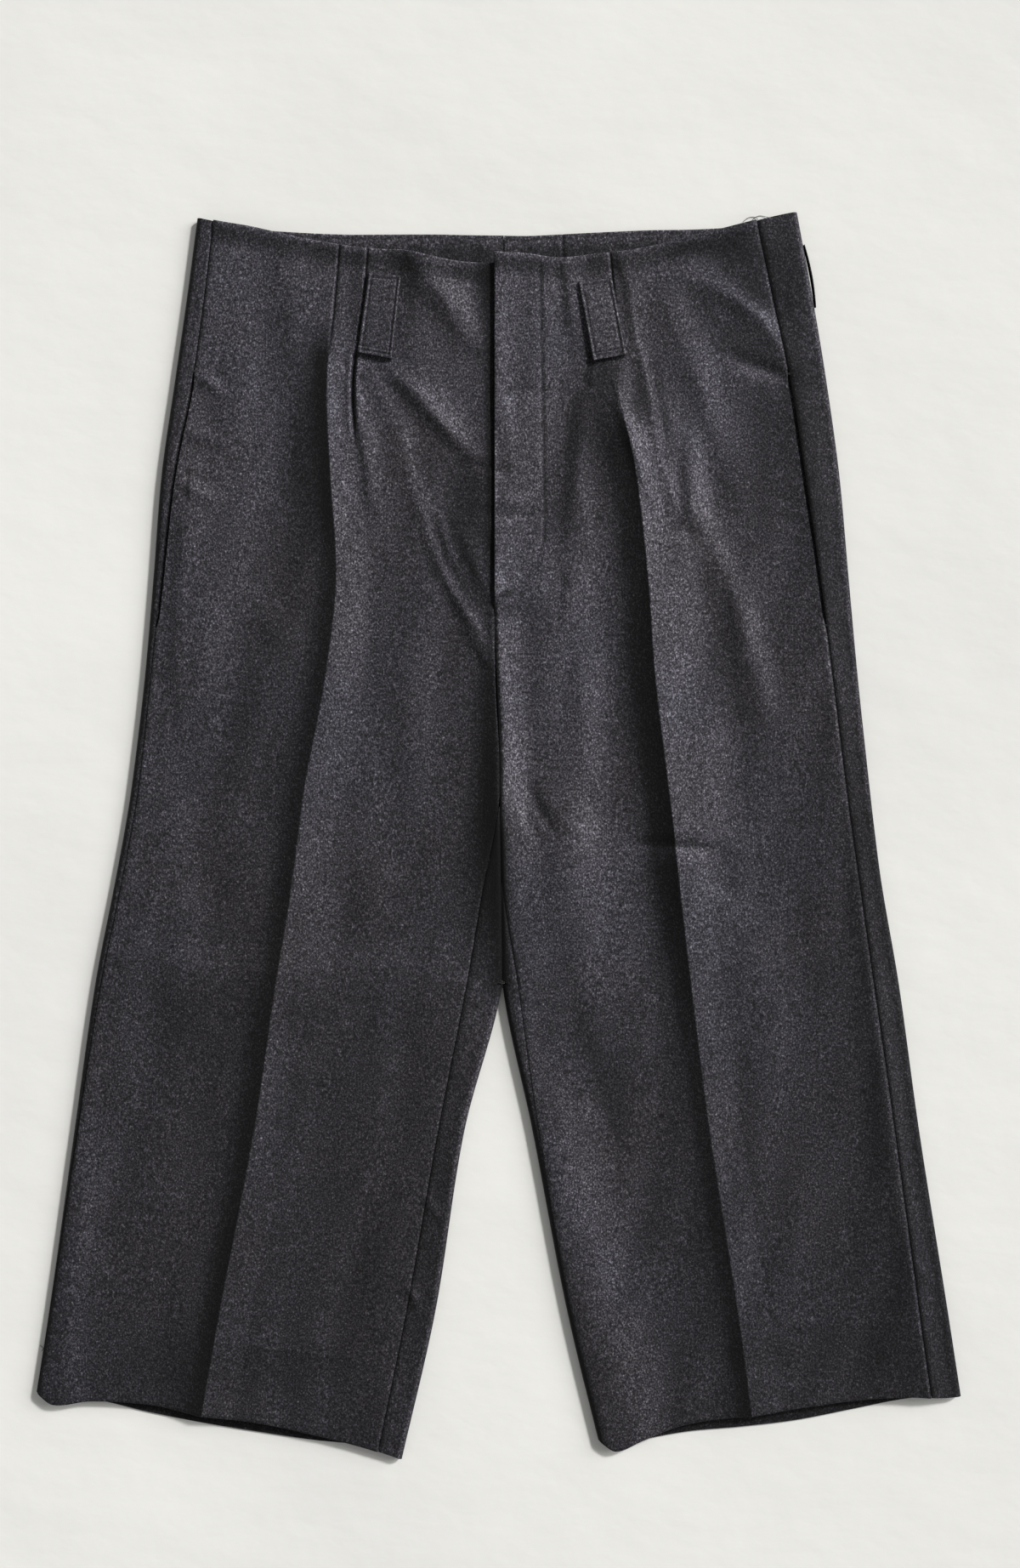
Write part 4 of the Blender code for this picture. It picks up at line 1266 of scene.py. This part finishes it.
def flannel_material(name, depth=1.0):
    """Brushed melange wool: dark ground, pale fibres, tufts of some millimetres and clouds, with painted
    light and shade by tilt, along the length and at the mesh's points.
    """
    material, tree, shader = new_material(name)
    place = tree.nodes.new("ShaderNodeTexCoord").outputs["Object"]
    speck = noise_node(tree, place, 1050.0, 1.5, (1.0, 0.7, 1.0))
    fibre = noise_node(tree, place, 2000.0, 1.0, (0.5, 1.0, 1.0))
    tuft = noise_node(tree, place, 390.0, 4.0)
    cloud = noise_node(tree, place, 30.0, 4.0)
    tint = noise_node(tree, place, 9.0, 2.0)
    # A depth below 1 gives a darker copy of the cloth, painted shade for cloth inside the garment.
    ground = [(height, tuple(tone * depth for tone in tones)) for height, tones in FLANNEL_TONES]
    colour = multiplied(
        tree,
        ramp_node(tree, speck, ground),
        grey_node(tree, fibre, (0.32, 0.55), (0.68, 1.45)),
        grey_node(tree, tuft, (0.28, 0.58), (0.72, 1.46)),
        grey_node(tree, cloud, (0.3, 0.89), (0.7, 1.11)),
        ramp_node(tree, tint, ((0.35, (1.02, 0.99, 0.98)), (0.65, (0.98, 0.99, 1.03)))),
        painted_lengthwise_light(tree, place),
        painted_slope_light(tree),
        seam_shade(tree),
    )
    tree.links.new(colour, shader.inputs["Base Color"])
    shader.inputs["Roughness"].default_value = 0.8
    shader.inputs["Specular IOR Level"].default_value = 0.2
    shader.inputs["Sheen Weight"].default_value = 0.08
    shader.inputs["Sheen Roughness"].default_value = 0.45
    shader.inputs["Sheen Tint"].default_value = (0.9, 0.88, 0.95, 1.0)
    bump_normal(tree, shader, speck, 0.55, 0.0005)
    return material


def thread_material():
    """Dull dark sewing thread, twisted, so that its tone changes along it."""
    material, tree, shader = new_material("sewing_thread")
    place = tree.nodes.new("ShaderNodeTexCoord").outputs["Object"]
    twist = noise_node(tree, place, 1800.0, 2.0)
    colour = ramp_node(tree, twist, ((0.3, (0.006, 0.006, 0.007)), (0.7, (0.022, 0.021, 0.024))))
    tree.links.new(colour, shader.inputs["Base Color"])
    shader.inputs["Roughness"].default_value = 0.6
    return material


def floor_material():
    """Pale paper with soft uneven tones and faint creases."""
    material, tree, shader = new_material("pale_floor")
    place = tree.nodes.new("ShaderNodeTexCoord").outputs["Object"]
    cloud = noise_node(tree, place, 2.6, 4.0)
    crumple = noise_node(tree, place, 9.0, 5.0, (1.0, 1.6, 1.0))
    colour = ramp_node(tree, cloud, ((0.3, (0.80, 0.795, 0.765)), (0.7, (0.86, 0.855, 0.815))))
    tree.links.new(colour, shader.inputs["Base Color"])
    shader.inputs["Roughness"].default_value = 0.9
    bump_normal(tree, shader, crumple, 0.5, 0.004)
    return material


def add_floor(material):
    mesh = bpy.data.meshes.new("floor")
    ways = ((-1.0, -1.0), (1.0, -1.0), (1.0, 1.0), (-1.0, 1.0))
    mesh.from_pydata([(x * FLOOR_REACH, y * FLOOR_REACH, 0.0) for x, y in ways], [], [(0, 1, 2, 3)])
    mesh.materials.append(material)
    floor = add_object("floor", mesh)
    floor.location.z = -0.0002


def add_sun(name, direction, angle, strength, colour):
    """A far light that shines from a direction, as wide as angle in degrees."""
    data = bpy.data.lights.new(name, "SUN")
    data.angle = math.radians(angle)
    data.energy = strength
    data.color = colour
    light = add_object(name, data)
    light.location = direction
    light.rotation_euler = Vector(direction).to_track_quat("Z", "Y").to_euler()


def add_camera():
    """Straight above, framed as the photograph is: its middle pixel over its place on the cloth."""
    x = (PHOTO_SIZE[0] / 2 - PHOTO_LEFT) * PHOTO_SCALE - MIDDLE_X
    y = MIDDLE_DOWN - (PHOTO_SIZE[1] / 2 - PHOTO_TOP) * PHOTO_SCALE
    reach = PHOTO_SIZE[1] * PHOTO_SCALE * LENS / SENSOR
    data = bpy.data.cameras.new("camera")
    data.lens = LENS
    data.sensor_width = SENSOR
    data.sensor_fit = "AUTO"
    camera = add_object("camera", data)
    camera.location = (x * METRES, y * METRES, (reach + 4.0) * METRES)
    bpy.context.scene.camera = camera


def set_world():
    world = bpy.data.worlds.new("studio")
    world.use_nodes = True
    background = world.node_tree.nodes["Background"]
    background.inputs["Color"].default_value = (1.0, 1.0, 1.0, 1.0)
    background.inputs["Strength"].default_value = 0.28
    bpy.context.scene.world = world
    bpy.context.scene.view_settings.view_transform = "Standard"


def main():
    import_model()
    flannel = flannel_material("wool_flannel")
    # A darker copy of the flannel, as painted shade, for the facing and bearer inside the garment.
    facing = flannel_material("wool_facing", 0.95)
    for leg in (RIGHT, LEFT):
        front = front_panel(leg, flannel)
        back = back_panel(leg, flannel)
        facing_piece = waist_facing(leg, facing)
        bearer = pocket_bearer(leg, facing)
    for name, *corners in LOOPS:
        loop = front_loop(name, corners, flannel)
    loop = back_loop(LEFT, flannel)
    sewing(thread_material())
    add_floor(floor_material())
    add_sun("key_light", (1.15, 1.0, 1.25), 7.0, 2.2, (1.0, 0.995, 0.985))
    add_sun("window_light", (2.05, 1.0, 1.32), 36.0, 1.65, (1.0, 1.0, 0.995))
    set_world()
    add_camera()


main()
